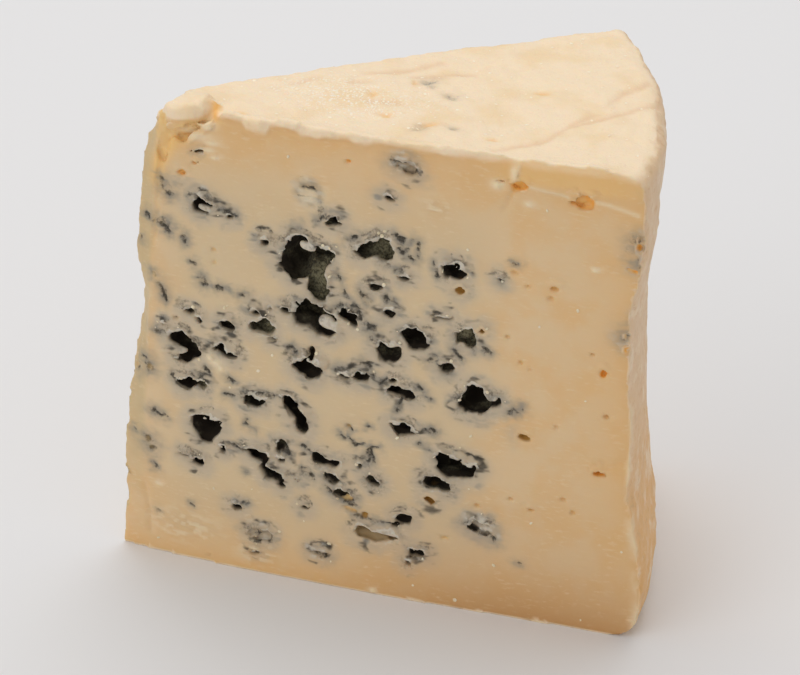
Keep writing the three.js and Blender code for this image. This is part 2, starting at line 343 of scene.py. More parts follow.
# Torn hollows: the mould breaks the curd in crumbs, so the walls and mouths wander by up to a millimetre
TEAR = 0.62 * MM
FINE_TEAR = 0.3 * MM
WALL_TEAR = 0.35 * MM
TEAR_DEPTH = 11 * MM
TEAR_BAND = 1.7 * MM
near_cells = np.argwhere(np.abs(block) < TEAR_BAND)
near_points = cell_places(near_cells)
cut_depths = {cut: cut.depth(near_points) for cut in (front_cut, back_cut)}
nearest_depth = np.minimum(*cut_depths.values())
off_edges = blend_step(crust_depth(near_points), 1.5 * MM, 4 * MM)
off_edges = off_edges * blend_step(past_tip(near_points), 1 * MM, 4 * MM)
for cut, seed in ((front_cut, 3), (back_cut, 23)):
    depth = cut_depths[cut]
    torn = np.flatnonzero((depth < TEAR_DEPTH) & (depth <= nearest_depth) & (off_edges > 0.01))
    points = near_points[torn]
    ease = off_edges[torn]
    shift_run = uneven(points, (TEAR, 2.1, seed), (FINE_TEAR, 0.8, seed + 1))
    shift_up = uneven(points, (TEAR, 2.1, seed + 2), (FINE_TEAR, 0.8, seed + 3))
    moved = points + (ease * shift_run)[:, None] * cut.run
    moved[:, 2] += ease * shift_up
    wall = WALL_TEAR * lumps(points, 1.5 * MM, seed + 4) * blend_step(depth[torn], 0.5 * MM, 1.5 * MM)
    block[tuple(near_cells[torn].T)] = read_block(moved) + wall * ease

# Smaller mould pits and slits between the hollows
MOULD_PITS = [
    (51.5, 71.6, 3, 1.3, 0), (46.1, 68.7, 2.8, 1.5, 0), (49, 63.5, 2.8, 1.6, 10), (59.5, 64.6, 5.5, 0.9, 4),
    (21.8, 58.6, 2.2, 1.2, 0), (24.9, 60.2, 1.4, 1, 0), (25.6, 53.7, 1.6, 1, 0), (8.3, 56.5, 2.5, 1, -10),
    (10.4, 55.2, 1.6, 0.9, -40), (5.6, 54.7, 1.4, 0.8, 0), (3.1, 52.8, 2, 1, 0), (40.6, 48.1, 2.5, 1.4, 0),
    (11.7, 40.7, 2.2, 1.6, 0), (7.6, 45.6, 4.4, 1.4, 5), (16.4, 26.7, 1.3, 2.6, 0), (28.4, 30, 1.5, 3.4, -30),
    (28.6, 27.1, 1.4, 2, 20), (29, 21, 1.8, 1.5, 0), (32.4, 23.3, 1.4, 1.2, 0), (39, 24.8, 3.4, 1.8, -20),
    (41.4, 21.4, 4, 2, -15), (47.4, 25.6, 3.6, 1.8, -30), (52.2, 16.4, 2, 1, 0), (55.2, 8.4, 1.2, 1.6, 20),
    (68.3, 19.5, 1.4, 0.9, 0), (70.2, 18, 1.8, 1, -15), (19.8, 13.8, 2, 1.6, 0), (33.9, 16.8, 2, 1, 0),
    (37.2, 6.8, 3.4, 1.2, 0), (24.2, 4, 2.4, 0.9, 0), (9.4, 81.6, 3, 0.9, -14), (15.8, 78.6, 1.6, 1, 0),
    (23, 74.5, 1.5, 2, 0), (47.7, 88, 3.5, 0.9, -15), (51.8, 94, 2.5, 1, 0), (50.4, 49, 2, 1.2, 20),
    (8.3, 23.6, 4.4, 0.9, 12), (44.6, 28.6, 1, 2.2, 0), (71, 74.8, 1.2, 0.9, 0), (28, 60.3, 2, 1.6, 0),
    (8.8, 92, 3.2, 1.1, 25),
]
for mark in MOULD_PITS:
    press_out(*mark)

# Small clean pits, where gas opened the curd and no mould has grown
CLEAN_PITS = [
    (69.9, 95.8, 2, 1.4, 0), (39.5, 94.5, 1.3, 0.9, 0), (91.9, 58.4, 1.4, 2, -30), (72.8, 62.9, 1.2, 1, 0),
    (81.6, 74.7, 1.8, 1.3, 0), (80.9, 72.5, 1.3, 1, 0), (62.9, 71, 2, 1.6, 0), (67.7, 63.3, 1.6, 1.3, 0),
    (77, 41.6, 2.6, 1.4, 0), (59, 23.7, 2.5, 1.5, -20), (5.4, 86.5, 1.8, 1.3, 0), (8.3, 89.3, 1.8, 1.1, 30),
    (13.1, 68.1, 1, 0.9, 0), (12.8, 71, 1, 0.8, 0), (43, 18.3, 3.4, 1, -12), (46.1, 17.8, 1.6, 1, 0),
    (42, 37.3, 1.2, 0.9, 0), (75.6, 57.8, 1.2, 1, 0), (77.7, 56.7, 1.2, 0.9, 0), (83.3, 45.2, 1.2, 0.9, 0),
    (93.1, 49.4, 1.2, 1, 0), (85.3, 29.1, 1.3, 1, 0), (87.3, 26.5, 1.2, 1, 0), (79.1, 25.5, 1.4, 1, 0),
    (75, 27.2, 1.2, 0.9, 0), (68.4, 24.2, 1.4, 1, 0), (89.6, 62.2, 1.1, 0.9, 0), (73.5, 76.7, 2, 0.9, 0),
    (76.2, 74.2, 1.2, 0.9, 0), (62.2, 15.3, 2, 1, 0), (10.3, 101, 1.6, 3, 10),
]
for mark in CLEAN_PITS:
    press_out(*mark, deep=0.8, rag=0.12 * MM)

# Pits that the mould left along the rind's edge
RIND_PITS = [
    (97.9, 87.8, 1.6, 1.1, 20), (97.6, 85.9, 1.6, 1.4, -10), (98.4, 83, 1.2, 1, 0), (96.4, 81.1, 2, 1.1, -15),
    (95.8, 67.2, 1.4, 1.8, 20), (96.5, 64.5, 1.4, 1.5, 0), (97.5, 69, 1, 2.2, -30),
]
for mark in RIND_PITS:
    press_out(*mark, deep=0.7, rag=0.4 * MM)

# Mouths: the wire breaks the rim of each hollow away in crumbs, and drags a thin skin of curd down over
# its upper edge, where it hangs as a ragged lip
MOUTH_CELL = 0.2 * MM
MOUTH_BAND = 2.2 * MM
MOUTH_DEPTH = 0.8 * MM
MOUTH_WIDEN = 0.05 * MM
MOUTH_RAISE = 0.2 * MM
MOUTH_RAG = 0.5 * MM
MOUTH_REACH = 4.5 * MM
MOUTH_OFF_EDGE = 2.5 * MM
RIM_DEPTH = 1.3 * MM
RIM_ZONE = 3 * MM
RIM_ABOVE = 1.4 * MM
RIM_UNDER = 2 * MM
LIP_REACH = 0.8 * MM
LIP_ROOT = 0.7 * MM
LIP_THICK = 0.55 * MM
LIP_CURL = 0.25 * MM
LIP_SUNK = 0.15 * MM
LIP_LEAST = 0.05


def spread(sheet, times, mix):
    """A sheet of cells, each mixed with its neighbours a number of times."""
    for _ in range(times):
        for axis in (0, 1):
            sheet = mix(np.roll(sheet, 1, axis), sheet, np.roll(sheet, -1, axis))
    return sheet


def average(*sheets):
    return sum(sheets) / len(sheets)


def largest(*sheets):
    return np.maximum.reduce(sheets)


class Mouths:
    """The mouths of the hollows in one cut, as sheets of cells: how far each is from a rim, and above it."""

    def __init__(self, cut, seed):
        self.cut = cut
        self.seed = seed
        self.start = (corners @ cut.run).min()
        shape = int(((corners @ cut.run).max() - self.start) / MOUTH_CELL), int(CUT_HEIGHT / MOUTH_CELL)
        run, up = ((axis.ravel() + 0.5) * MOUTH_CELL for axis in np.indices(shape))
        run = self.start + run
        places = np.outer(run, cut.run) + np.outer(cut.height(run, up) - MOUTH_DEPTH, cut.out)
        places[:, 2] = up
        mouth = (crust_depth(places) > MOUTH_OFF_EDGE) & (past_tip(places) > MOUTH_OFF_EDGE)
        mouth = (mouth & (read_block(places) > 0)).reshape(shape)
        opening = mouth.astype(float)
        rim = np.argwhere(mouth & (spread(opening, 1, average) < 0.99))
        tree = KDTree(len(rim))
        for index, (i, j) in enumerate(rim):
            tree.insert((i, j, 0), index)
        tree.balance()
        self.edge = np.full(shape, 2 * MOUTH_REACH)
        for i, j in np.argwhere(spread(opening, int(MOUTH_REACH / MOUTH_CELL), largest) > 0):
            gap = tree.find((i, j, 0))[2] * MOUTH_CELL
            self.edge[i, j] = -gap if mouth[i, j] else gap
        self.haze = spread(self.edge, 3, average)
        slope_run, slope_up = np.gradient(spread(opening, 6, average))
        wide_run, wide_up = np.gradient(spread(opening, 30, average))
        slope_run, slope_up = slope_run + 0.3 * wide_run, slope_up + 0.3 * wide_up
        self.above = -slope_up / (np.hypot(slope_run, slope_up) + 1e-7)
        self.room = spread(np.maximum(-self.edge, 0), 8, largest)

    def cells(self, points):
        """The cells of the sheets that points lie in front of."""
        column = ((points @ self.cut.run - self.start) / MOUTH_CELL).astype(int)
        row = (points[:, 2] / MOUTH_CELL).astype(int)
        return np.clip(column, 0, self.edge.shape[0] - 1), np.clip(row, 0, self.edge.shape[1] - 1)

    def rim(self, points):
        """How far points lie outside the broken rim of the nearest mouth, and how much they are above it."""
        cells = self.cells(points)
        above = self.above[cells]
        ragged = uneven(points, (0.6, 1.1, self.seed), (0.55, 0.6, self.seed + 1))
        ragged += 0.5 * (0.7 - 2.6 * np.abs(lumps(points, 2.4 * MM, self.seed + 5)))
        widen = MOUTH_WIDEN + MOUTH_RAISE * np.maximum(above, 0)
        return self.edge[cells] - widen - MOUTH_RAG * ragged, above

    def tear(self):
        """Breaks the rims. Some mouths keep a pale lip at their upper edge, and some only a worn edge."""
        depth = self.cut.depth(near_points)
        chosen = np.flatnonzero((depth > -RIM_ABOVE) & (depth < RIM_UNDER))
        chosen = chosen[self.edge[self.cells(near_points[chosen])] < RIM_ZONE]
        points = near_points[chosen]
        depth = depth[chosen]
        out, above = self.rim(points)
        cells = tuple(near_cells[chosen].T)
        opened = np.maximum(block[cells], np.minimum(-out, RIM_DEPTH - depth))
        rise = blend_step(above, 0.1, 0.7) * spotted(points, 5, self.seed + 4, -0.15, 0.35)
        fringe = 0.4 + 0.7 * lumps(points, 1.5 * MM, self.seed + 2)
        fringe = fringe + 0.5 * lumps(points, 0.55 * MM, self.seed + 3)
        room = 0.7 * self.room[self.cells(points)] + 0.1 * MM
        hang = np.minimum(LIP_REACH * np.clip(fringe, 0, 1.4), room) * rise
        curl = LIP_CURL * rise * blend_step(-out, -LIP_ROOT, LIP_ROOT)
        lip = np.abs(depth + curl - LIP_SUNK) - LIP_THICK / 2
        lip = np.maximum(np.maximum(lip, -(out + hang)), out - LIP_ROOT)
        lip[rise < LIP_LEAST] = 1.0
        block[cells] = np.minimum(opened, lip)


near_cells = np.argwhere(np.abs(block) < MOUTH_BAND)
near_points = cell_places(near_cells)
front_mouths = Mouths(front_cut, 71)
back_mouths = Mouths(back_cut, 81)
front_mouths.tear()
back_mouths.tear()

# Knobs, tongues and curls of pale curd that hang into the mouths of the large hollows
CURD_KNOBS = [
    (36.6, 59.4, 3.6, 3, -10), (37.2, 77.9, 4.4, 3.4, 0), (60.4, 77, 2.6, 1.8, 0), (31.8, 75, 3.4, 1.6, -20),
    (35.2, 50.6, 3, 3, 0), (5.2, 47.3, 6.4, 1.7, 10), (70, 49.6, 3.4, 2.2, -40), (36.9, 62.4, 2.4, 2, 0),
    (37.2, 71, 3, 1.8, 20), (64.8, 35.4, 3.4, 1.6, -30), (49.2, 14.9, 8.4, 1.9, -9), (50.2, 57, 2.8, 1.4, 20),
    (38.8, 58.6, 4, 2.2, -15), (31.2, 50.8, 2, 1.6, 40), (10.6, 79.6, 3, 1, -10),
]
CURL_SLIT = (33.8, 52, 1.5, 3.2, 0)
CURLS = [(36.2, 50.6, 2.6, 3, 20), (31.4, 51, 2.2, 2, -30)]
for mark in CURD_KNOBS:
    add_curd(*mark)
press_out(*CURL_SLIT)
for mark in CURLS:
    add_curd(*mark, sunk=0.1 * MM)

# Flakes of curd that the wire lifted
FLAKES = [
    (69.5, 94.9, 2.4, 1.8, -10), (76, 91.8, 1.8, 1.1, -20), (89.5, 80.3, 1.8, 1, 10),
    (72.8, 97.8, 1.3, 2.6, 0), (14.4, 46.4, 2.4, 1.6, -20), (13.2, 47.4, 1.6, 1.2, 20),
    (15.6, 45.4, 1.7, 1.3, 40), (3.4, 15.6, 1.6, 0.8, 0), (48.6, 0.6, 1.4, 1.2, 40),
    (8.4, 95, 5.6, 1.5, 42), (10.8, 97.4, 2.4, 1.6, 30), (11.6, 94, 3, 1, 15),
    (10.8, 92.4, 2.4, 0.8, -10), (12.6, 91, 2, 0.7, 10),
]
for mark in FLAKES:
    add_curd(*mark, deep=0.7, sunk=0.25 * MM, rag=0.2 * MM)

# Walls not far behind the mouths, furred with mould, floors of clean curd in the broken corner of the tip and
# in the split under the rind, and torn patches, where mould has broken the curd up but hasn't opened it far
FURRED_WALLS = [
    (34.8, 66.4, 6.5, 9, 10, 2.2), (47.6, 76.6, 5.4, 6, 30, 2.2), (24.6, 55.4, 4, 3, 0, 2),
    (12.6, 40.2, 2.4, 2, 0, 1), (64, 61.4, 3.6, 4.6, 0, 1.5),
]
SPLIT_PIT = (86.9, 94, 3.4, 3.6, 0)
CLEAN_FLOORS = [
    (5.6, 96.2, 12, 5, 12, 0.9), (1.2, 92.4, 4, 11, 4, 0.5), (86.2, 94.2, 5.4, 4.4, 0, 1.1),
    (73.5, 95.7, 5.4, 3, 0, 0.9),
]
TORN_PATCHES = [
    (69.6, 20, 6.6, 4, -25, 0.5), (24.8, 8.6, 6.4, 5, 0, 0.6), (37, 7.4, 5, 3.4, 0, 0.4),
    (51, 96.4, 7, 4.4, 0, 0.8), (9.2, 83.4, 4, 2.4, -10, 0.4), (20.6, 15.2, 3.6, 2, 10, 0.5),
    (31.6, 86.6, 5.5, 5.5, -8, 0.1),
]
add_floors(FURRED_WALLS, 1.2, rag=0.3 * MM)
press_out(*SPLIT_PIT, deep=0.5)
add_floors(CLEAN_FLOORS, 1.5, rag=0.35 * MM)
add_floors(TORN_PATCHES, 1.5, rag=0.5 * MM)

# The skin of the carved block, as corners and four-sided faces that point outwards
cell_grid.copyFromArray(block, ijk=tuple(int(i) for i in first_cell))
skin, _, quads = cell_grid.convertToPolygons()
skin = skin.astype(float)
quads = quads.astype(np.int64)


def corner_normals(points, faces):
    """The direction that the skin faces at each corner."""
    across = np.cross(points[faces[:, 2]] - points[faces[:, 0]], points[faces[:, 3]] - points[faces[:, 1]])
    total = np.zeros_like(points)
    for axis in range(3):
        for side in range(4):
            total[:, axis] += np.bincount(faces[:, side], across[:, axis], len(points))
    return total / (np.linalg.norm(total, axis=1, keepdims=True) + 1e-12)


skin_normals = corner_normals(skin, quads)
if np.sum(skin_normals * (skin - skin.mean(axis=0))) < 0:
    quads = quads[:, ::-1]
    skin_normals = -skin_normals

TOP_ZONE = 5 * MM
RIND_THICK = 2 * MM
BASE_ZONE = 0.3 * MM


def read_skin(points, normals):
    """Where corners of the skin lie along and up the front cut, how deep under each face, and on which."""
    start, end = cut_edges(points[:, 2] / CUT_HEIGHT)
    strip = np.maximum(0, start - points[:, 0])
    radial = points[:, :2] - WHEEL_AXIS
    reach = np.linalg.norm(radial, axis=1)
    facing_rind = np.sum(normals[:, :2] * radial, axis=1) / reach
    crust = crust_depth(points)
    front = front_cut.depth(points) - strip * STRIP_SLOPE
    back = back_cut.depth(points)
    return SimpleNamespace(
        along=(points[:, 0] - start) / (end - start) * 100,
        up=(points[:, 2] - CUT_BASE) / CUT_HEIGHT * 100,
        front=front,
        back=back,
        nearer_front=front <= back,
        back_along=(points @ back_cut.run - (corners @ back_cut.run).min()) / (CUT_RIND - CUT_TIP) * 100,
        crust=crust,
        top=blend_step(normals[:, 2], 0.3, 0.75) * (points[:, 2] > CUT_HEIGHT - TOP_ZONE),
        side=blend_step(facing_rind, 0.35, 0.75) * (reach > RIND_REACH) * (crust < RIND_THICK),
        base=points[:, 2] < BASE_ZONE,
    )


def line_gap(along, up, *route):
    """How far places lie from a line through the points of a route, in the route's own units."""
    gap = np.full(len(along), 1e3)
    for (a, b), (c, d) in zip(route, route[1:]):
        share = np.clip(((along - a) * (c - a) + (up - b) * (d - b)) / ((c - a) ** 2 + (d - b) ** 2), 0, 1)
        gap = np.minimum(gap, np.hypot(along - a - share * (c - a), up - b - share * (d - b)))
    return gap


# Veins: specks and smears of mould on the front cut and the tip strip, as lines with a width
VEINS = [
    (1.4, 84.6, 2.8, 83.2, 1.2), (2, 83.2, 3.2, 81.4, 1.2), (-1.6, 76.2, 1.4, 75, 1),
    (1.4, 75, 3.8, 73.4, 1), (2.4, 75.7, 4, 74.7, 0.9), (6.4, 73, 7, 72, 1), (-2.6, 70.3, -2.2, 70, 0.8),
    (8.3, 67.6, 8.8, 67.2, 0.8), (10.2, 64.7, 11.6, 63.1, 1), (13.4, 63, 16.8, 62.6, 0.8),
    (19, 62.1, 20, 62, 0.9), (0.1, 63.8, 0.4, 63, 0.8), (2.2, 61.2, 3.6, 58.4, 1),
    (1.5, 51.5, 3, 50.6, 1.1), (12, 44.8, 13, 44, 0.8), (17.3, 43.5, 18.4, 43, 0.8),
    (-0.6, 44, 0.6, 42.4, 1.5), (-2.6, 41.9, -2.2, 41.2, 1.2), (4.3, 31.9, 4.6, 31.4, 0.7),
    (1.5, 32.7, 3.4, 32.2, 1.1), (21.3, 34.4, 22.8, 32.8, 0.8), (17, 39.9, 18.4, 39.5, 0.7),
    (25.2, 41.2, 26.4, 41, 0.8), (21.2, 23, 21.8, 22.5, 0.7), (0.6, 25.6, 1.6, 23.4, 1.5),
    (2.2, 20, 2.4, 19.2, 0.9), (-2.6, 27, -2.2, 26.6, 0.8), (10, 12.2, 10.8, 12, 0.6),
    (3.2, 9.2, 3.6, 8.9, 0.7), (29.2, 79.2, 29.8, 78.6, 1), (30.5, 87.4, 33, 87, 0.5),
    (31, 85.2, 34, 84.8, 0.5), (37.6, 69.8, 38.6, 69, 0.8), (39.6, 66.6, 40.4, 65.4, 0.9),
    (44.3, 66.4, 44.9, 65.4, 0.8), (50, 66.4, 50.6, 65.4, 0.8), (50.6, 78, 51.2, 77.2, 1),
    (54.5, 79.4, 54.3, 76.8, 0.7), (52.8, 76.2, 53.4, 75.8, 1), (68.4, 59.8, 69.2, 58.8, 0.9),
    (58, 39.8, 59.2, 39.4, 1), (45.7, 38.3, 46.2, 37.8, 0.7), (40.2, 35.4, 41.2, 34.6, 0.7),
    (43.2, 34.2, 44, 33.4, 0.8), (44, 33.4, 48.6, 33.8, 0.6), (47, 33, 47.2, 30, 0.8),
    (56, 36.4, 58.4, 34.8, 0.6), (73.2, 78.9, 74, 78.7, 0.6), (70.6, 75, 71.4, 74.6, 0.7),
    (73.6, 46.6, 76.4, 48.2, 1), (77, 12.9, 77.8, 12.6, 0.6), (52.4, 45.8, 51.6, 42.6, 0.7),
    (44, 52, 46, 51.6, 1), (40, 49.6, 46.2, 49.4, 0.9), (66.6, 19.8, 71.6, 17.4, 1.5),
    (22.4, 9, 27, 7.6, 1.4), (35.6, 7.4, 39, 6.4, 1.2), (48.8, 96, 53.6, 94.6, 1.6),
    (19.6, 14.6, 22.4, 15.6, 0.8), (33, 31, 36, 29.4, 0.9), (27.4, 31.4, 29.4, 28.6, 0.8),
    (18, 28.4, 20.4, 27.8, 0.7), (12.6, 81, 17, 79, 0.9), (7.4, 82, 9, 82.4, 0.8),
    (35, 82.6, 33.6, 80.6, 0.8), (40.6, 78.2, 42, 79, 0.9), (49.4, 80.4, 51, 79.6, 1),
    (48.6, 73.4, 51, 73, 0.9), (57.4, 76, 58.2, 73.6, 0.8), (62.4, 57.8, 63.6, 56.6, 0.9),
    (57, 54.4, 58.6, 55.8, 0.9), (45.6, 57.6, 47.4, 57, 1), (41.6, 64, 44.6, 60.4, 1),
    (29.4, 53, 31, 51.6, 0.9), (20.6, 41.2, 24, 41.4, 0.9), (28, 41.4, 31, 40.6, 0.8),
    (55.4, 48.6, 58, 46.8, 0.9), (47.6, 48.4, 49.4, 49.4, 0.8), (10, 43, 13, 41.8, 0.8),
    (5.2, 41.6, 6.4, 40.4, 0.8), (38, 22.6, 44.6, 19.2, 0.8), (33.6, 25.8, 35.6, 24, 0.8),
    (42.8, 67.6, 44.2, 64.8, 0.8), (48, 67.4, 48.4, 65.8, 0.8), (39.2, 63.6, 42, 61.6, 1.5),
    (42, 61.6, 46, 59.8, 1.5), (52, 77.8, 53.2, 80.2, 0.9), (39.6, 49.6, 41.6, 49, 1.2),
    (43.6, 49.6, 46.4, 49.2, 1.4), (59.2, 54.6, 61.4, 53, 1.1), (64.6, 60.4, 66.2, 58.8, 1),
    (28.2, 31.4, 30, 28.4, 1), (42.4, 35, 43.4, 33.4, 0.7), (46.4, 33.4, 46.2, 29.8, 0.8),
    (46.6, 26.6, 48.2, 25.4, 1.2), (37.8, 25, 39.6, 24.2, 1.2), (41, 22, 43, 20.8, 1.3),
    (42, 37.2, 42.8, 36.6, 0.7), (43.4, 17.6, 48, 16.8, 0.6), (48, 16.8, 52.6, 16.2, 0.6),
]
VEIN_REACH = 7

# The cut that faces away has the same kind of specks, thrown about by a seeded draw
BACK_SPECKS = 130
BACK_SPECK_LONG = 0.8
draw = np.random.default_rng(17)
back_along = draw.uniform(14, 72, BACK_SPECKS)
back_up = draw.uniform(10, 90, BACK_SPECKS)
back_wide = draw.uniform(0.6, 1.5, BACK_SPECKS)
back_veins = list(zip(back_along, back_up, back_along + BACK_SPECK_LONG, back_up, back_wide))


def vein_marks(points, place):
    """How dark the specks of mould are at corners of the skin, and how grey the paste is round them."""
    dark = np.zeros(len(points))
    grey = np.zeros(len(points))
    shift_run = uneven(points, (0.45, 1.4, 131), (0.4, 0.6, 133))
    shift_up = uneven(points, (0.45, 1.4, 132), (0.4, 0.6, 134))
    front_face = place.nearer_front & (np.abs(place.front) < 1 * MM)
    back_face = ~place.nearer_front & (np.abs(place.back) < 1 * MM) & (place.crust > RIND_THICK)
    for face, along, veins in ((front_face, place.along, VEINS), (back_face, place.back_along, back_veins)):
        for a, b, c, d, width in veins:
            near = face & (np.abs(along - (a + c) / 2) < VEIN_REACH)
            near = np.flatnonzero(near & (np.abs(place.up - (b + d) / 2) < VEIN_REACH))
            run, rise = along[near] + shift_run[near], place.up[near] + shift_up[near]
            away = line_gap(run, rise, (a, b), (c, d)) / width
            dark[near] = np.maximum(dark[near], blend_step(-away, -1.05, 0.05))
            grey[near] = np.maximum(grey[near], bell(away, 1.6))
    return dark * spotted(points, 0.9, 135, -0.8, 0.1), grey


def flap_marks(points, place):
    """The flap of curd above each mouth: how far out of the mouth corners lie, and its crease."""
    front_out, front_above = front_mouths.rim(points)
    back_out, back_above = back_mouths.rim(points)
    front_away = front_mouths.haze[front_mouths.cells(points)]
    back_away = back_mouths.haze[back_mouths.cells(points)]
    out = np.where(place.nearer_front, front_out, back_out)
    above = blend_step(np.where(place.nearer_front, front_above, back_above), 0, 0.65)
    on_cut = blend_step(-np.abs(np.minimum(place.front, place.back)), -1.2 * MM, -0.7 * MM)
    on_cut = on_cut * blend_step(place.crust, 1.5 * MM, 3 * MM)
    hinge = (1.3 + 0.7 * lumps(points, 2.6 * MM, 141)) * MM
    return SimpleNamespace(
        out=out,
        away=np.where(place.nearer_front, front_away, back_away),
        above=above,
        crease=bell(out - hinge, 0.42 * MM) * spotted(points, 2.2, 142, 0.05, 0.45) * above * on_cut,
        swell=between(out, 0.1 * MM, hinge - 0.2 * MM, 0.25 * MM) * above * on_cut,
    )


# The top of the rind, in millimetres across and in from the middle: old mould pits, dry scars, and folds
# where the wheel was turned while it was soft
TOP_PITS = [
    (0.6, -3, 1.4, 1, 30), (1.4, -4.6, 0.8, 0.6, 0), (5.7, -6.9, 1.1, 0.9, 0), (4.2, -20.2, 0.8, 1.4, -20),
    (9.4, -18.8, 1.3, 0.6, -30),
]
TOP_SCARS = [
    (5.4, -18.4, 1.6, 0.6, 20), (16.6, -20.3, 1.2, 0.5, 0), (20.3, -1.4, 1.3, 0.8, -10),
    (-25.7, -25.2, 1, 0.8, 10), (-7, -11, 1, 1.2, 0), (-1.5, -4.5, 0.7, 0.9, 0), (-3, -17.5, 1.2, 0.8, 0),
]
TOP_FOLDS = [
    [(18, -25), (24.9, -17.2), (29.2, -10.6), (33.2, 1.1), (36, 7)],
    [(26.9, -14.9), (32.2, -8.8), (39.7, -0.6)], [(-24, -14), (-17.7, -7.8), (-6, -1), (0.5, 3.6)],
    [(-12, -8), (2, 0), (14, 4)], [(-30, -20), (-14, -15), (-2, -12)],
]
WRINKLE_TURN = math.radians(28)
WRINKLE_STRETCH = 6


def top_spots(points, spots, grow=1.0):
    """How far points lie within spots on the top of the rind, from 0 to 1 in the middle of one."""
    x = points[:, 0] / MM + 0.35 * lumps(points, 1.2 * MM, 161)
    y = points[:, 1] / MM + 0.35 * lumps(points, 1.2 * MM, 162)
    within = np.zeros(len(points))
    for across, deep, wide, long, tilt in spots:
        cosine, sine = math.cos(math.radians(tilt)), math.sin(math.radians(tilt))
        run = ((x - across) * cosine + (y - deep) * sine) / (wide * grow)
        rise = ((y - deep) * cosine - (x - across) * sine) / (long * grow)
        within = np.maximum(within, oval(run, rise))
    return within


def top_folds(points):
    """How far points lie within the folds of the top, from 0 to 1 along the middle of one."""
    x = points[:, 0] / MM + 0.9 * lumps(points, 6 * MM, 163)
    y = points[:, 1] / MM + 0.9 * lumps(points, 6 * MM, 164)
    gap = np.min([line_gap(x, y, *route) for route in TOP_FOLDS], axis=0)
    return bell(gap, 0.8) * spotted(points, 5, 165, -0.5, 0.2)


def wrinkles(points):
    """Long shallow folds that cross the top of the rind, from -1 to 1."""
    turned_run = points[:, 0] * math.cos(WRINKLE_TURN) + points[:, 1] * math.sin(WRINKLE_TURN)
    turned_in = points[:, 1] * math.cos(WRINKLE_TURN) - points[:, 0] * math.sin(WRINKLE_TURN)
    return lumps(np.stack([turned_run / WRINKLE_STRETCH, turned_in, points[:, 2]], -1), 3.2 * MM, 103)


def rind_edge(points, place):
    """How close points lie to the edge between the front cut and the rind side, from 0 to 1 on it."""
    away = np.hypot(np.maximum(side_depth(points), 0), np.maximum(place.front, 0))
    return bell(away, 1.2 * MM) * (1 - place.top)


def rind_lip(points, along):
    """How far up the front cut the rolled edge of the rind ends."""
    hanging = between(along, 18, 23, 0.7) + 0.5 * between(along, 29, 34, 1) + 0.4 * between(along, 40, 44, 1)
    return 99.3 - 1.7 * hanging + 0.4 * lumps(points, 3 * MM, 111) + 0.2 * lumps(points, 1.3 * MM, 112)


def tip_knob(place):
    """How much places belong to the knob of rind at the top of the tip."""
    return between(place.along, -2, 10.5, 1) * blend_step(place.up - 0.21 * place.along, 96.6, 97.6)


def oval_patch(place, along, up, wide, tall):
    """How much places belong to an upright oval patch of the front cut."""
    return oval((place.along - along) / wide, (place.up - up) / tall)


# Low relief in millimetres: waxy unevenness and drag on the cuts, wrinkles and grain on the rind
skin_place = read_skin(skin, skin_normals)
skin_flap = flap_marks(skin, skin_place)
on_front_cut = (np.abs(skin_place.front) < 0.8 * MM) & (skin_normals[:, 1] < -0.5)
relief = (1 - skin_place.top) * (1 - skin_place.side) * (
    uneven(skin, (0.05, 4, 101), (0.03, 1.2, 102)) + 0.045 * lumps(skin / (5, 1, 1), 0.8 * MM, 109)
)
relief += skin_place.top * (
    0.12 * wrinkles(skin) + 0.12 * lumps(skin, 3.5 * MM, 104) + 0.14 * lumps(skin, 1.3 * MM, 105)
    - 0.6 * top_spots(skin, TOP_PITS) - 0.35 * top_spots(skin, TOP_SCARS) - 0.16 * top_folds(skin)
)
relief += skin_place.side * uneven(skin, (0.22, 5, 106), (0.14, 1.9, 107), (0.07, 0.9, 108))
relief += 0.24 * skin_flap.swell - 0.26 * skin_flap.crease - 0.34 * vein_marks(skin, skin_place)[0]

# The knobby edge where the cut meets the rind side, and the edge of the tip, where crumbs have come away
relief += rind_edge(skin, skin_place) * (uneven(skin, (0.25, 2.4, 153), (0.15, 1.1, 154)) - 0.15)
tip_edge = blend_step(-skin_place.along, 0.5, 2.5) * (1 - skin_place.top) * blend_step(skin_place.up, 2, 6)
relief += tip_edge * uneven(skin, (0.2, 2.6, 151), (0.12, 1.1, 152))

# The scalloped lip of rind that rolls over the top of the cut near the tip, the shadow gap under it, and the
# crumbled skin of the lip and of the knob beside it
lip_line = rind_lip(skin, skin_place.along)
lip_run = between(skin_place.along, 13, 62, 3) * (skin_place.front < 2 * MM) * (skin_normals[:, 1] < -0.1)
relief -= lip_run * 0.3 * bell(skin_place.up - lip_line + 1, 0.8)
crumbly = 0.6 * lip_run * blend_step(skin_place.up, lip_line - 0.5, lip_line + 1)
crumbly = np.maximum(crumbly, tip_knob(skin_place) * blend_step(-skin_place.front, -8 * MM, -5 * MM))
relief += crumbly * uneven(skin, (0.4, 2, 155), (0.2, 0.9, 156))

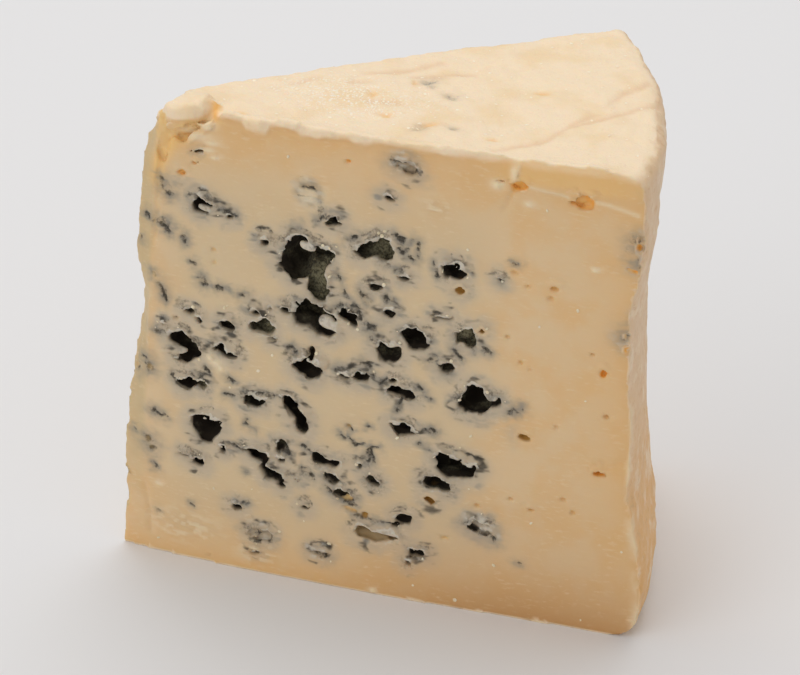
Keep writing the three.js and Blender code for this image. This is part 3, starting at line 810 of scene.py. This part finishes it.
# The drier cap of rind above a split in the cut towards the rind side, the cracks that run from it, and thin
# ridges of curd that the wire raised beside it
SPLITS = [
    [(75.5, 95.2), (83, 94.4), (91, 94.2), (96.5, 93)], [(73.2, 95.4), (72, 92), (70.8, 90)],
    [(0.2, 14.8), (1.9, 3.9)], [(0.9, 91), (0.5, 80), (0.3, 70)],
]
RIDGES = [[(76, 95.4), (83.4, 94.6)], [(87.8, 94.4), (91, 94.2), (97.2, 92.9)], [(73.6, 99.4), (73.2, 97)]]
cap_line = 95 + 0.3 * lumps(skin, 5 * MM, 113)
cap_run = between(skin_place.along, 74, 93, 2.5) * on_front_cut
relief += cap_run * 0.25 * blend_step(skin_place.up, cap_line - 0.3, cap_line + 0.5)
for routes, wander, seed, rise, width in ((SPLITS, 0.5, 114, -0.35, 0.5), (RIDGES, 0.4, 116, 0.28, 0.45)):
    for route in routes:
        gap = line_gap(skin_place.along + wander * lumps(skin, 2 * MM, seed), skin_place.up, *route)
        relief += on_front_cut * rise * bell(gap, width)

# Chatter, where the wire stuck and slipped
CHATTER = [(9, 7, 7, 3.4), (32, 86.5, 3, 3.6), (57.7, 87.7, 3, 2), (24.5, 4, 4, 2.4)]
CHATTER_SLOPE = 0.25
CHATTER_STEP = 1.1
chatter_line = skin_place.up + CHATTER_SLOPE * skin_place.along + 0.5 * lumps(skin, 3 * MM, 115)
for patch in CHATTER:
    wave = np.sin(chatter_line * math.tau / CHATTER_STEP)
    relief += on_front_cut * oval_patch(skin_place, *patch) * 0.2 * wave

relief[skin_place.base] = 0
skin += skin_normals * (relief * MM)[:, None]
skin[:, 2] = np.maximum(skin[:, 2], 0)

# The skin is thinned where it is plain, and keeps its full grain round the mouths and marks of the front cut
SKIN_TRIANGLES = 194_000
KEPT_DEPTH = 2.5 * MM
KEPT_REACH = 2.6 * MM
KEPT_UP = 92


def plain_mesh(piece, name):
    """Turns what a piece's modifiers make into its own plain mesh, and takes them off."""
    source = piece.data
    result = bpy.data.meshes.new_from_object(piece.evaluated_get(bpy.context.evaluated_depsgraph_get()))
    piece.modifiers.clear()
    piece.data = result
    bpy.data.meshes.remove(source)
    result.name = name
    return result


mesh = bpy.data.meshes.new("cheese_wedge_skin")
mesh.from_pydata(skin.tolist(), [], quads.tolist())
wedge = bpy.data.objects.new("cheese_wedge_skin", mesh)
bpy.context.collection.objects.link(wedge)
thin_group = wedge.vertex_groups.new(name="thin")
kept = (skin_place.front < skin_place.back) & (skin_place.front < KEPT_DEPTH) & (skin_place.side < 0.5)
near_vein = vein_marks(skin, skin_place)[1] > 0.1
kept &= (skin_flap.out < KEPT_REACH) | near_vein | (skin_place.up > KEPT_UP)
kept &= (skin_place.top < 0.5) & ~skin_place.base
thin_group.add(np.flatnonzero(~kept).tolist(), 1.0, "REPLACE")
thinning = wedge.modifiers.new("thin", "DECIMATE")
thinning.ratio = SKIN_TRIANGLES / (2 * len(quads))
thinning.vertex_group = thin_group.name
thinned = plain_mesh(wedge, "cheese_wedge_skin")
wedge.vertex_groups.clear()
thinned.shade_smooth()


# Paint: how much each corner of the skin is stained, lined, torn, clean or rind
def corner_rows(values, field):
    """Three numbers for each corner of a mesh, as rows."""
    rows = np.empty(len(values) * 3, np.float32)
    values.foreach_get(field, rows)
    return rows.reshape(-1, 3).astype(float)


points = corner_rows(thinned.vertices, "co")
place = read_skin(points, corner_rows(thinned.vertex_normals, "vector"))
on_front_side = place.nearer_front
cut_along = np.where(on_front_side, place.along, place.back_along)
off_rind = (1 - place.top) * (1 - place.side)
streaked = points / (2, 1, 1)


def from_spot(along, up):
    """How far the corners lie from a spot of the front cut, in hundredths."""
    return np.hypot(place.along - along, place.up - up)


# Blue grows in the heart of the paste, and leaves the paste near the rind and the broken tip clean
BLUE_START = 0.5
BLUE_END = 72
blue = blend_step(-cut_along, -BLUE_END - 5, -BLUE_END) * blend_step(place.crust, 1.5 * MM, 3.5 * MM)
blue *= blend_step(place.along, BLUE_START, BLUE_START + 2)
broken = on_front_side & (place.along < 15) & (place.up > 86)
blue[broken & (from_spot(8.6, 92) > 2.2)] = 0
blue[on_front_side & (place.along > 65) & (place.up > 90)] = 0
for along, up, wide, tall, tilt in CLEAN_PITS:
    blue[on_front_side & (from_spot(along, up) < max(wide, tall) * 0.75)] = 0

# Hollows are lined with mould where it grows, and are clean elsewhere, as most of the low groove is
GROOVE = ((44, 13.2), (52, 12.4))
sunk = np.where((place.crust > 0.8 * MM) & (place.along > 0), np.minimum(place.front, place.back), 0)
groove = on_front_side * blend_step(-line_gap(place.along, place.up, *GROOVE), -2.2, -1.4)
lining = blue * blend_step(sunk, 0.3 * MM, 1.1 * MM) * (1 - 0.45 * groove)
clean = (1 - blue) * blend_step(sunk, 0.15 * MM, 1 * MM) * (place.crust > 1 * MM)
clean = np.maximum(clean, 0.35 * groove * blend_step(sunk, 0.3 * MM, 1 * MM))

# Round each mouth the paste is grey, with a pale torn rim above it and dark blotches along the flap's crease,
# partly mould and partly painted shade in the crease
HALO_REACH = 1.05 * MM
BLOTCH_REACH = 1.9 * MM
flap = flap_marks(points, place)
vein_dark, vein_grey = vein_marks(points, place)
off_lining = blue * (1 - lining)
halo = np.exp(-np.maximum(flap.away, 0) / HALO_REACH) * (0.75 + 0.25 * flap.above)
halo *= 0.75 + 0.5 * lumps(points, 3 * MM, 123)
halo = np.maximum(halo * off_lining, 0.75 * vein_grey * (1 - lining)) * (1 - groove)
halo *= 1 - 0.5 * on_front_side * blend_step(np.abs(place.up - 51), 36, 43)
blotch = spotted(streaked, 1.4, 121, 0.15, 0.7) * bell(flap.away, BLOTCH_REACH) * (0.5 + 0.5 * flap.above)
# The crease term paints shade into the flap's crease, along with the mould blotches
mould = np.maximum(vein_dark, off_lining * np.maximum(0.6 * flap.crease, 0.7 * blotch))
torn_lip = blend_step(-flap.out, -0.2 * MM, 0.1 * MM) * blend_step(-sunk, -0.5 * MM, -0.1 * MM) * blue
fur = np.zeros(len(points))
for along, up, wide, tall, tilt, behind in FURRED_WALLS:
    fur = np.maximum(fur, oval_patch(place, along, up, wide / 1.6, tall / 1.6))

# Torn patches are grey, streaked with pale crumbs and dark cracks
torn = np.zeros(len(points))
for along, up, wide, tall, tilt, behind in TORN_PATCHES:
    slant = math.tan(math.radians(tilt))
    gap = np.hypot((place.along - along) / wide, (place.up - up - slant * (place.along - along)) / tall)
    torn = np.maximum(torn, blend_step(-gap, -0.75, -0.35) * on_front_side * (place.front < 3 * MM))
lining *= 1 - 0.9 * torn
halo = np.maximum(halo, 0.5 * torn)
torn_lip = np.maximum(torn_lip, 0.9 * torn * spotted(streaked, 0.8, 171, 0.05, 0.4))
mould = np.maximum(mould, 0.9 * torn * spotted(streaked, 0.9, 172, 0.3, 0.65))

# Grey mould has crept in along the rind's edge
EDGE_MOULD = [(97.4, 87.2, 2.8, 2.8), (97.2, 83, 2.4, 2.4), (96, 67, 2.6, 3), (97.4, 70, 1.6, 2.4)]
for patch in EDGE_MOULD:
    crept = oval_patch(place, *patch) * on_front_side * (1 - place.side)
    halo = np.maximum(halo, 0.7 * crept)
    mould = np.maximum(mould, 0.65 * crept * spotted(points, 0.8, 173, 0.15, 0.5))
    torn_lip = np.maximum(torn_lip, 0.9 * crept * spotted(points, 0.9, 174, 0.15, 0.5))

# Lifted flakes, ridges and chatter are creamy, and so is the low part of the edge at the rind
cream = np.zeros(len(points))
for along, up, wide, tall, tilt in FLAKES:
    cream = np.maximum(cream, 0.9 * oval_patch(place, along, up, wide / 1.5, tall / 1.5))
for route in RIDGES:
    cream = np.maximum(cream, 0.6 * bell(line_gap(place.along, place.up, *route), 0.45))
for patch in CHATTER:
    cream = np.maximum(cream, 0.7 * oval_patch(place, *patch) * spotted(streaked, 0.7, 176, 0.1, 0.4))
cream *= on_front_side * (place.front < 1.5 * MM) * (1 - place.side)
pale_edge = rind_edge(points, place) * blend_step(-place.up, -70, -56) * blend_step(place.along, 97, 98.2)
cream = np.maximum(cream, 0.8 * pale_edge * spotted(points, 2.2, 177, -0.6, 0.3))

# Pits stained orange by the rind, and pits where brown mould has just begun: along, up, reach, how strongly
ORANGE_PITS = [
    (88.4, 95, 2.5, 1), (86.3, 94.4, 4.5, 0.5), (73.4, 95.7, 4, 0.9), (69.9, 95.8, 2.4, 1),
    (97.6, 85.7, 1.3, 1), (96.4, 81, 1.5, 1), (96.5, 64.4, 1.4, 1), (91.9, 58.4, 2, 1),
    (39.5, 94.5, 1.2, 1), (91.4, 36.8, 2, 1), (5.4, 86.5, 1.8, 0.5), (8.3, 89.3, 1.5, 0.5),
]
BROWN_PITS = [
    (62.9, 71, 2.2, 1), (67.7, 63.3, 1.9, 1), (59, 23.7, 2.6, 1), (46.1, 17.8, 1.2, 1), (77, 41.6, 2, 1),
]


def pit_stain(pits):
    """How much the walls of pits in the front cut are stained."""
    stain = np.zeros(len(points))
    for along, up, reach, strength in pits:
        stain = np.maximum(stain, strength * blend_step(-from_spot(along, up), -reach, -0.7 * reach))
    return stain * blend_step(np.where(on_front_side, sunk, 0), 0.1 * MM, 0.6 * MM)


brown = pit_stain(BROWN_PITS)
lining = np.maximum(lining, brown)
clean *= 1 - brown
orange = np.maximum(pit_stain(ORANGE_PITS), 0.45 * brown)

# Ripe paste under the crust, which also stands as painted shade under the rolled lip and along the base, the rind
# itself, and how far specks stray from the mouths into the paste
RIPE_AND_SHADE_REACH = 6 * MM
FOOT_SHADE_REACH = 9 * MM
STRAY_REACH = 4.4 * MM
ripe_and_shade = np.exp(-np.maximum(place.crust, 0) / RIPE_AND_SHADE_REACH)
lip_line = rind_lip(points, place.along)
rolled = blend_step(place.up, lip_line - 0.5, lip_line + 1) * (place.along > 2) * (place.front < 3 * MM)
knob = tip_knob(place) * on_front_side * (place.front < 2 * MM)
rind = np.maximum.reduce([place.top, place.side, place.base, rolled, knob])
veined = blend_step(-np.maximum(flap.out, 0), -STRAY_REACH, 0)
veined *= blend_step(cut_along, 0, 2) * blend_step(-cut_along, -BLUE_END - 8, -BLUE_END)
veined *= 1 - on_front_side * blend_step(cut_along, 56, 64) * blend_step(place.up, 84, 90)
veined *= off_rind * blend_step(place.crust, 0.5 * MM, 2.5 * MM) * (1 - broken)
for along, up, wide, tall, tilt in CLEAN_PITS:
    veined *= 1 - 0.7 * bell(from_spot(along, up), 1.8) * on_front_side
heart = between(cut_along, 4, 68, 7) * between(place.up, 8, 88, 8) * off_rind
# Painted shade: the paste grows darker and more orange towards the base, more so towards the rind
foot_shade = np.exp(-np.maximum(points[:, 2], 0) / FOOT_SHADE_REACH) * blend_step(cut_along, 25, 80) * (1 - place.side)
strip = blend_step(-place.along, -0.5, 1) * (1 - place.top) * blend_step(place.up, 2, 34)

# Old pits and scars on the top, the orange notch beside the knob, the golden paste of the broken corner and
# of the dry cap, and the patch of the top where whey stands
NOTCH = ((10, 103), (11.6, 98.6))
CORNER = ((7.4, 96.6), (3.8, 93.6), (2.5, 91.7), (0.9, 88.9), (0.3, 84.6))
halo = np.maximum(halo, 0.45 * top_spots(points, TOP_PITS, 1.4) * place.top)
old_pits = top_spots(points, TOP_PITS) * place.top
mould = np.maximum(mould, 0.5 * old_pits * spotted(points, 0.9, 175, -0.4, 0.3))
orange = np.maximum(orange, 0.55 * top_spots(points, TOP_SCARS) * place.top)
notch = bell(line_gap(place.along, place.up, *NOTCH), 0.8) * (place.front < 4 * MM)
orange = np.maximum(orange, 0.9 * notch * on_front_side)
cap = between(place.along, 70, 97, 6) * blend_step(place.up, 95, 97) * (1 - place.top)
golden = np.maximum(bell(line_gap(place.along, place.up, *CORNER), 1.7), 0.55 * cap)
golden = golden * on_front_side * (place.front < 3 * MM) * (1 - place.side)
wet = oval((points[:, 0] / MM + 10) / 13, (points[:, 1] / MM + 13) / 7) * place.top

shares = {
    "halo": halo, "mould": mould, "lining": lining, "torn_lip": torn_lip, "clean": clean, "orange": orange,
    "cream": cream, "golden": golden, "fur": fur, "above": flap.above * blue, "veined": veined,
    "heart": heart, "ripe_and_shade": ripe_and_shade, "foot_shade": foot_shade, "strip": strip, "rind": rind, "rind_side": place.side, "wet": wet,
    "fold": top_folds(points) * place.top,
}
layers = {name: np.clip(values, 0, 1) for name, values in shares.items()}
layers["gap"] = np.clip(flap.out / MM, -4, 8)
layers["away"] = np.clip(flap.away / MM, -4, 8)


def store(mesh, name, values):
    """Keeps a value for each corner of a mesh, for its material or its scatter to read."""
    mesh.attributes.new(name, "FLOAT", "POINT").data.foreach_set("value", values.astype(np.float32))


for name, values in layers.items():
    store(thinned, name, values)


def tone(*chart):
    """A colour from a paint chart, red, green and blue to 255, in the light that the shader works in."""
    parts = [part / 255 for part in chart]
    parts = [part / 12.92 if part <= 0.04045 else ((part + 0.055) / 1.055) ** 2.4 for part in parts]
    return (*parts, 1)


class Finish:
    """A material's node tree, with a short way to add each kind of node."""

    def __init__(self, name):
        self.material = bpy.data.materials.new(name)
        self.material.use_nodes = True
        self.tree = self.material.node_tree
        self.shader = self.tree.nodes["Principled BSDF"].inputs
        self.place = self.tree.nodes.new("ShaderNodeTexCoord").outputs["Object"]

    def join(self, source, socket):
        if isinstance(source, bpy.types.NodeSocket):
            self.tree.links.new(source, socket)
        else:
            socket.default_value = source

    def node(self, kind, **given):
        """A node with its inputs given by name."""
        made = self.tree.nodes.new(kind)
        for name, source in given.items():
            self.join(source, made.inputs[name])
        return made

    def mark(self, name, strength=1):
        """A layer of the paint, at a strength."""
        made = self.node("ShaderNodeAttribute")
        made.attribute_name = name
        return made.outputs["Fac"] if strength == 1 else self.times(made.outputs["Fac"], strength)

    def grain(self, size, detail=2.0, roughness=0.5, stretch=1.0):
        """Cloudy grain of a size, drawn out along the wedge by a stretch."""
        drawn = self.node("ShaderNodeMapping", Vector=self.place, Scale=(1 / stretch, 1, 1))
        drawn = drawn.outputs["Vector"]
        cloud = self.node("ShaderNodeTexNoise", Vector=drawn, Scale=1 / size, Detail=detail)
        cloud.inputs["Roughness"].default_value = roughness
        return cloud.outputs["Fac"]

    def reckon(self, operation, *values):
        made = self.node("ShaderNodeMath")
        made.operation = operation
        for value, socket in zip(values, made.inputs):
            self.join(value, socket)
        return made.outputs[0]

    def times(self, share, *others):
        for other in others:
            share = self.reckon("MULTIPLY", share, other)
        return share

    def step(self, value, start, end, low_value=0.0, high_value=1.0):
        """A smooth step from a low value before start to a high value after end."""
        made = self.node("ShaderNodeMapRange", Value=value)
        made.interpolation_type = "SMOOTHSTEP"
        for socket, number in zip(made.inputs[1:5], (start, end, low_value, high_value)):
            socket.default_value = number
        return made.outputs["Result"]

    def coats(self, colour, *coats):
        """Lays coats over a colour, each a share of it at each place and a tone."""
        for share, coat in coats:
            made = self.node("ShaderNodeMix")
            made.data_type = "RGBA"
            for name, source in (("Factor", share), ("A", colour), ("B", coat)):
                self.join(source, made.inputs[name])
            colour = made.outputs["Result"]
        return colour

    def soften(self, depth):
        """Lets light into the curd to a depth, red furthest."""
        self.shader["Subsurface Weight"].default_value = 0.2
        self.shader["Subsurface Radius"].default_value = (1, 0.6, 0.3)
        self.shader["Subsurface Scale"].default_value = depth


PASTE_WARM = tone(231, 201, 158)
PASTE_HEART = tone(220, 197, 159)
PASTE_GREY = tone(210, 191, 162)
PASTE_RIPE_AND_SHADE = tone(231, 185, 124)
PASTE_FOOT_SHADE = tone(196, 146, 92)
STRIP_YELLOW = tone(208, 184, 140)
GOLDEN = tone(244, 198, 126)
RIND_CREAM = tone(251, 226, 192)
RIND_YELLOW = tone(240, 208, 156)
RIND_FOLD = tone(234, 196, 156)
RIND_SIDE = tone(234, 200, 160)
RIND_FOOT = tone(233, 182, 118)
RIND_BLOOM = tone(246, 222, 190)
RIND_RUST = tone(212, 170, 122)
WHEY_WHITE_AND_HIGHLIGHT = tone(255, 250, 240)
MOULD_SOFT = tone(148, 142, 130)
MOULD_DARK = tone(50, 44, 33)
LIP_PALE = tone(214, 205, 188)
CURD_CREAM = tone(244, 224, 188)
LINING_DARK = tone(35, 27, 17)
LINING_GREEN = tone(124, 118, 92)
CLEAN_OCHRE = tone(240, 202, 138)
PIT_ORANGE = tone(246, 184, 90)

cheese = Finish("cheese")
mark, step, times = cheese.mark, cheese.step, cheese.times
mottle = cheese.grain(9 * MM, 3)
patches = cheese.grain(5 * MM, 4, 0.6)
cluster = cheese.grain(4 * MM, 2)
smudge = cheese.grain(2.2 * MM, 2, 0.5, 1.9)
dash = cheese.grain(1.3 * MM, 1, 0.4, 2.2)
speckle = cheese.grain(1.1 * MM, 3, 0.6)
drag = cheese.grain(0.6 * MM, 3, 0.6, 3)
fine = cheese.grain(0.45 * MM, 2, 0.6)
height = cheese.node("ShaderNodeSeparateXYZ", Vector=cheese.place).outputs["Z"]

# Paste, warm under the rind and grey among the veins, darkened by painted shade towards the base and under the
# rolled lip, with creamy streaks that the wire drew
paste = cheese.coats(
    PASTE_WARM,
    (step(mottle, 0.4, 0.65, 0, 0.55), PASTE_RIPE_AND_SHADE),
    (mark("heart", 0.8), PASTE_HEART),
    (step(mark("veined"), 0.05, 0.9), PASTE_GREY),
    # ripe tone under the crust, partly painted shade under the rolled lip and along the base
    (mark("ripe_and_shade", 0.85), PASTE_RIPE_AND_SHADE),
    # painted shade towards the base
    (mark("foot_shade", 0.9), PASTE_FOOT_SHADE),
    (mark("strip", 0.8), STRIP_YELLOW),
    (times(step(drag, 0.52, 0.75, 0, 0.3), step(mottle, 0.4, 0.6, 0.2, 1)), CURD_CREAM),
)

# Rind, creamy on top with white flecks of whey that are partly a painted highlight, and mottled with bloom and
# rust on the side
top_rind = cheese.coats(
    RIND_CREAM,
    (step(mottle, 0.45, 0.7, 0, 0.5), RIND_YELLOW),
    (mark("fold", 0.6), RIND_FOLD),
    (step(fine, 0.6, 0.75, 0, 0.35), RIND_FOLD),
    # white flecks in the wet patch: whey, partly a painted highlight of its wet shine
    (times(mark("wet"), step(fine, 0.55, 0.64), 0.85), WHEY_WHITE_AND_HIGHLIGHT),
    (times(mark("wet"), step(speckle, 0.56, 0.68, 0, 0.6)), RIND_YELLOW),
)
side_rind = cheese.coats(
    RIND_FOOT,
    (step(height, 15 * MM, 60 * MM), RIND_SIDE),
    (step(patches, 0.5, 0.7, 0, 0.75), RIND_BLOOM),
    (step(patches, 0.3, 0.45, 0.6, 0), RIND_RUST),
    (step(speckle, 0.56, 0.72, 0, 0.5), RIND_RUST),
)

# Mould: grey haze round the mouths, dark specks and dashes, a thin dark line along the flap's crease that is
# partly painted shade, pale torn rims, and furred linings
smudged = times(step(smudge, 0.54, 0.7), step(mark("veined"), 0.25, 0.9), 0.7)
haze = cheese.reckon("MAXIMUM", mark("halo"), smudged)
haze = times(haze, step(dash, 0.35, 0.6, 0.75, 1.3), step(speckle, 0.25, 0.7, 0.75, 1))
specks = cheese.reckon("ADD", mark("mould"), step(fine, 0.3, 0.7, -0.22, 0.12))
dashes = times(step(dash, 0.57, 0.72), step(cluster, 0.44, 0.56), step(mark("veined"), 0.35, 0.75, 0, 0.8))
wandering = cheese.reckon("ADD", mark("away"), step(smudge, 0.25, 0.75, -2.3, -0.5))
# Thin dark line along the flap's crease above each mouth: mould, partly painted shade in the crease
crease_mould_and_shade = times(
    step(cheese.reckon("ABSOLUTE", wandering), 0.05, 0.7, 1, 0), step(cluster, 0.47, 0.6),
    step(dash, 0.4, 0.6, 0.3, 1), mark("above", 0.85)
)
ragged = cheese.reckon("ADD", mark("gap"), step(speckle, 0.2, 0.8, -0.25, 0.25))
rim = times(
    step(ragged, -0.5, -0.15), step(ragged, 0.15, 0.45, 1, 0),
    step(cluster, 0.36, 0.54, 0.2, 0.95), mark("above")
)
pale = cheese.reckon("MAXIMUM", times(mark("torn_lip"), step(speckle, 0.35, 0.6, 0.35, 0.95)), rim)
furred = cheese.reckon("ADD", mark("fur"), step(smudge, 0.5, 0.75, 0, 0.5))
furred = times(furred, step(fine, 0.35, 0.62, 0.3, 1))
colour = cheese.coats(
    paste,
    (mark("rind"), top_rind),
    (mark("rind_side"), side_rind),
    (mark("golden"), GOLDEN),
    (haze, MOULD_SOFT),
    (step(specks, 0.12, 0.95, 0, 0.95), MOULD_DARK),
    (dashes, MOULD_DARK),
    (crease_mould_and_shade, MOULD_DARK),
    (pale, LIP_PALE),
    (mark("lining"), cheese.coats(LINING_DARK, (furred, LINING_GREEN))),
    (mark("clean"), CLEAN_OCHRE),
    (mark("orange"), PIT_ORANGE),
    (mark("cream"), CURD_CREAM),
)
rough = times(cheese.reckon("ADD", speckle, fine), step(mark("rind"), 0, 1, 0.5, 1.6))
bump = cheese.node("ShaderNodeBump", Strength=0.4, Distance=0.12 * MM, Height=rough)
gloss = cheese.reckon("MAXIMUM", step(speckle, 0.3, 0.7, 0.42, 0.58), mark("lining"))
cheese.join(colour, cheese.shader["Base Color"])
cheese.join(gloss, cheese.shader["Roughness"])
cheese.join(bump.outputs["Normal"], cheese.shader["Normal"])
cheese.shader["Specular IOR Level"].default_value = 0.35
cheese.soften(1.5 * MM)

thinned.materials.append(cheese.material)
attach(wedge, "root")
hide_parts("cheese_wedge")

# Crumbs and beads
# Loose crumbs of curd that the wire left round the mouths, and beads of whey that stand on the top rind.
# They are thrown over the skin by a seeded draw, thickest where each kind belongs.


def scatter_tree(name):
    """A tree that throws small lumps over a surface, with a share of them at each place."""
    tree = bpy.data.node_groups.new(name, "GeometryNodeTree")
    kinds = {
        "Surface": "Geometry", "Density": "Float", "Smallest": "Float", "Largest": "Float",
        "Flatness": "Float", "Seed": "Int", "Finish": "Material",
    }
    for label, kind in kinds.items():
        tree.interface.new_socket(label, in_out="INPUT", socket_type="NodeSocket" + kind)
    tree.interface.new_socket("Lumps", in_out="OUTPUT", socket_type="NodeSocketGeometry")

    def node(kind, **settings):
        made = tree.nodes.new(kind)
        for setting, value in settings.items():
            setattr(made, setting, value)
        return made

    def named(sockets, label):
        return [socket for socket in sockets if socket.name == label and socket.enabled][0]

    given = node("NodeGroupInput").outputs
    share = node("GeometryNodeInputNamedAttribute", data_type="FLOAT")
    share.inputs["Name"].default_value = "share"
    density = node("ShaderNodeMath", operation="MULTIPLY")
    throw = node("GeometryNodeDistributePointsOnFaces", distribute_method="RANDOM")
    lump = node("GeometryNodeMeshIcoSphere")
    lump.inputs["Radius"].default_value = 1
    lump.inputs["Subdivisions"].default_value = 1
    size, spin, squash = (node("FunctionNodeRandomValue", data_type="FLOAT") for _ in range(3))
    named(spin.inputs, "Max").default_value = math.tau
    named(squash.inputs, "Min").default_value = 0.55
    drawn_size, drawn_squash = named(size.outputs, "Value"), named(squash.outputs, "Value")
    flat, narrow = (node("ShaderNodeMath", operation="MULTIPLY") for _ in range(2))
    scale, turn = (node("ShaderNodeCombineXYZ") for _ in range(2))
    stand = node("GeometryNodeInstanceOnPoints")
    swing = node("GeometryNodeRotateInstances")
    plain = node("GeometryNodeRealizeInstances")
    finish = node("GeometryNodeSetMaterial")
    result = node("NodeGroupOutput")
    joins = [
        (share.outputs["Attribute"], density.inputs[0]), (given["Density"], density.inputs[1]),
        (given["Surface"], throw.inputs["Mesh"]), (density.outputs[0], throw.inputs["Density"]),
        (given["Seed"], throw.inputs["Seed"]), (given["Seed"], size.inputs["Seed"]),
        (given["Smallest"], named(size.inputs, "Min")), (given["Largest"], named(size.inputs, "Max")),
        (drawn_size, flat.inputs[0]), (given["Flatness"], flat.inputs[1]),
        (drawn_size, narrow.inputs[0]), (drawn_squash, narrow.inputs[1]),
        (drawn_size, scale.inputs["X"]), (narrow.outputs[0], scale.inputs["Y"]),
        (flat.outputs[0], scale.inputs["Z"]), (named(spin.outputs, "Value"), turn.inputs["Z"]),
        (throw.outputs["Points"], stand.inputs["Points"]), (lump.outputs["Mesh"], stand.inputs["Instance"]),
        (throw.outputs["Rotation"], stand.inputs["Rotation"]), (scale.outputs[0], stand.inputs["Scale"]),
        (stand.outputs[0], swing.inputs["Instances"]), (turn.outputs[0], swing.inputs["Rotation"]),
        (swing.outputs[0], plain.inputs["Geometry"]), (plain.outputs[0], finish.inputs["Geometry"]),
        (given["Finish"], finish.inputs["Material"]), (finish.outputs[0], result.inputs["Lumps"]),
    ]
    for source, socket in joins:
        tree.links.new(source, socket)
    return tree


LEAST_SHARE = 0.02


def throw_lumps(name, share, **given):
    """Throws lumps over the part of the wedge's skin that has a share of them, as one plain piece."""
    thinned.calc_loop_triangles()
    faces = np.array([triangle.vertices for triangle in thinned.loop_triangles])
    faces = faces[share[faces].max(axis=1) > LEAST_SHARE]
    used, numbers = np.unique(faces, return_inverse=True)
    surface = bpy.data.meshes.new(name + "_surface")
    surface.from_pydata(points[used].tolist(), [], numbers.reshape(-1, 3).tolist())
    store(surface, "share", share[used])
    piece = bpy.data.objects.new(name, surface)
    bpy.context.collection.objects.link(piece)
    modifier = piece.modifiers.new("throw", "NODES")
    modifier.node_group = scatter_tree(name)
    for item in modifier.node_group.interface.items_tree:
        if item.name in given:
            modifier[item.identifier] = given[item.name]
    plain_mesh(piece, name)
    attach(piece, "root")


def lump_finish(name, size, pale, dark, roughness):
    """A finish for small lumps, cloudy between two tones."""
    finish = Finish(name)
    colour = finish.coats(pale, (finish.step(finish.grain(size), 0.35, 0.65), dark))
    finish.join(colour, finish.shader["Base Color"])
    finish.shader["Roughness"].default_value = roughness
    return finish


crumb = lump_finish("curd_crumb", 1.5 * MM, tone(246, 230, 200), tone(228, 210, 176), 0.6)
crumb.soften(0.5 * MM)
on_plain_paste = off_rind * (1 - place.base) * (sunk < 0.4 * MM)
crumb_share = bell(flap.out - 0.3 * MM, 0.7 * MM) * blue * (sunk < 0.6 * MM)
crumb_share = crumb_share * (0.25 + 0.75 * flap.above) + 0.03 * on_plain_paste
throw_lumps(
    "curd_crumbs", crumb_share, Finish=crumb.material, Density=110_000.0,
    Smallest=0.14 * MM, Largest=0.46 * MM, Flatness=0.4, Seed=5
)

bead = lump_finish("whey_bead", 0.8 * MM, tone(255, 242, 214), tone(255, 232, 200), 0.3)
bead_share = 0.06 * place.top + wet
throw_lumps(
    "whey_beads", bead_share, Finish=bead.material, Density=600_000.0,
    Smallest=0.12 * MM, Largest=0.4 * MM, Flatness=0.2, Seed=9
)

# The floor
# A plain pale sheet that the wedge stands on. It isn't part of the object.
FLOOR_SIZE = 4
bpy.ops.mesh.primitive_plane_add(size=FLOOR_SIZE)
floor = bpy.context.object
floor.name = "floor"
paper = Finish("floor_paper")
paper.shader["Base Color"].default_value = (0.84, 0.83, 0.83, 1)
paper.shader["Roughness"].default_value = 0.9
floor.data.materials.append(paper.material)

# The light
# A wide soft lamp above and behind the wedge, a weaker one in front, and an even pale room.
ROOM_LIGHT = 0.52
HALF_HEIGHT = 45 * MM
world = bpy.data.worlds.new("room")
bpy.context.scene.world = world
world.use_nodes = True
room = world.node_tree.nodes["Background"].inputs
room["Color"].default_value = (1, 1, 1, 1)
room["Strength"].default_value = ROOM_LIGHT


def soft_lamp(name, stand, size, power):
    """A square soft lamp that shines on the middle of the wedge."""
    data = bpy.data.lights.new(name, "AREA")
    data.energy = power
    data.size = size
    lamp = bpy.data.objects.new(name, data)
    lamp.location = stand
    lamp.rotation_euler = (Vector((0, 0, HALF_HEIGHT)) - Vector(stand)).to_track_quat("-Z", "Y").to_euler()
    bpy.context.collection.objects.link(lamp)


soft_lamp("lamp_above", (-0.1, 0.3, 0.8), size=0.7, power=2.8)
soft_lamp("lamp_front", (-0.5, -0.8, 0.6), size=0.8, power=2.3)

# The camera
# It looks down on the front cut from a little to the rind's side, with a long lens.
VIEW_TURN = math.radians(16.06)
VIEW_RISE = math.radians(29.76)
VIEW_ROLL = math.radians(1.5)
VIEW_DISTANCE = 625 * MM
VIEW_MIDDLE = Vector((0, -0.34 * MM, HALF_HEIGHT))
AIM_LEFT = 4.46 * MM
AIM_DOWN = 6.48 * MM
LENS = 157.3
SENSOR_WIDTH = 36
back = Vector((
    math.sin(VIEW_TURN) * math.cos(VIEW_RISE), -math.cos(VIEW_TURN) * math.cos(VIEW_RISE), math.sin(VIEW_RISE)
))
right = Vector((math.cos(VIEW_TURN), math.sin(VIEW_TURN), 0))
upward = back.cross(right)
rolled_right = right * math.cos(VIEW_ROLL) + upward * math.sin(VIEW_ROLL)
rolled_up = upward * math.cos(VIEW_ROLL) - right * math.sin(VIEW_ROLL)
eye = VIEW_MIDDLE + back * VIEW_DISTANCE
aim = VIEW_MIDDLE - rolled_right * AIM_LEFT - rolled_up * AIM_DOWN
look = (eye - aim).normalized()
sideways = rolled_up.cross(look).normalized()
facing = Matrix((sideways, look.cross(sideways), look)).transposed()
camera_data = bpy.data.cameras.new("camera")
camera_data.lens = LENS
camera_data.sensor_width = SENSOR_WIDTH
camera = bpy.data.objects.new("camera", camera_data)
camera.matrix_world = Matrix.Translation(eye) @ facing.to_4x4()
bpy.context.collection.objects.link(camera)
bpy.context.scene.camera = camera
bpy.context.scene.view_settings.view_transform = "Standard"
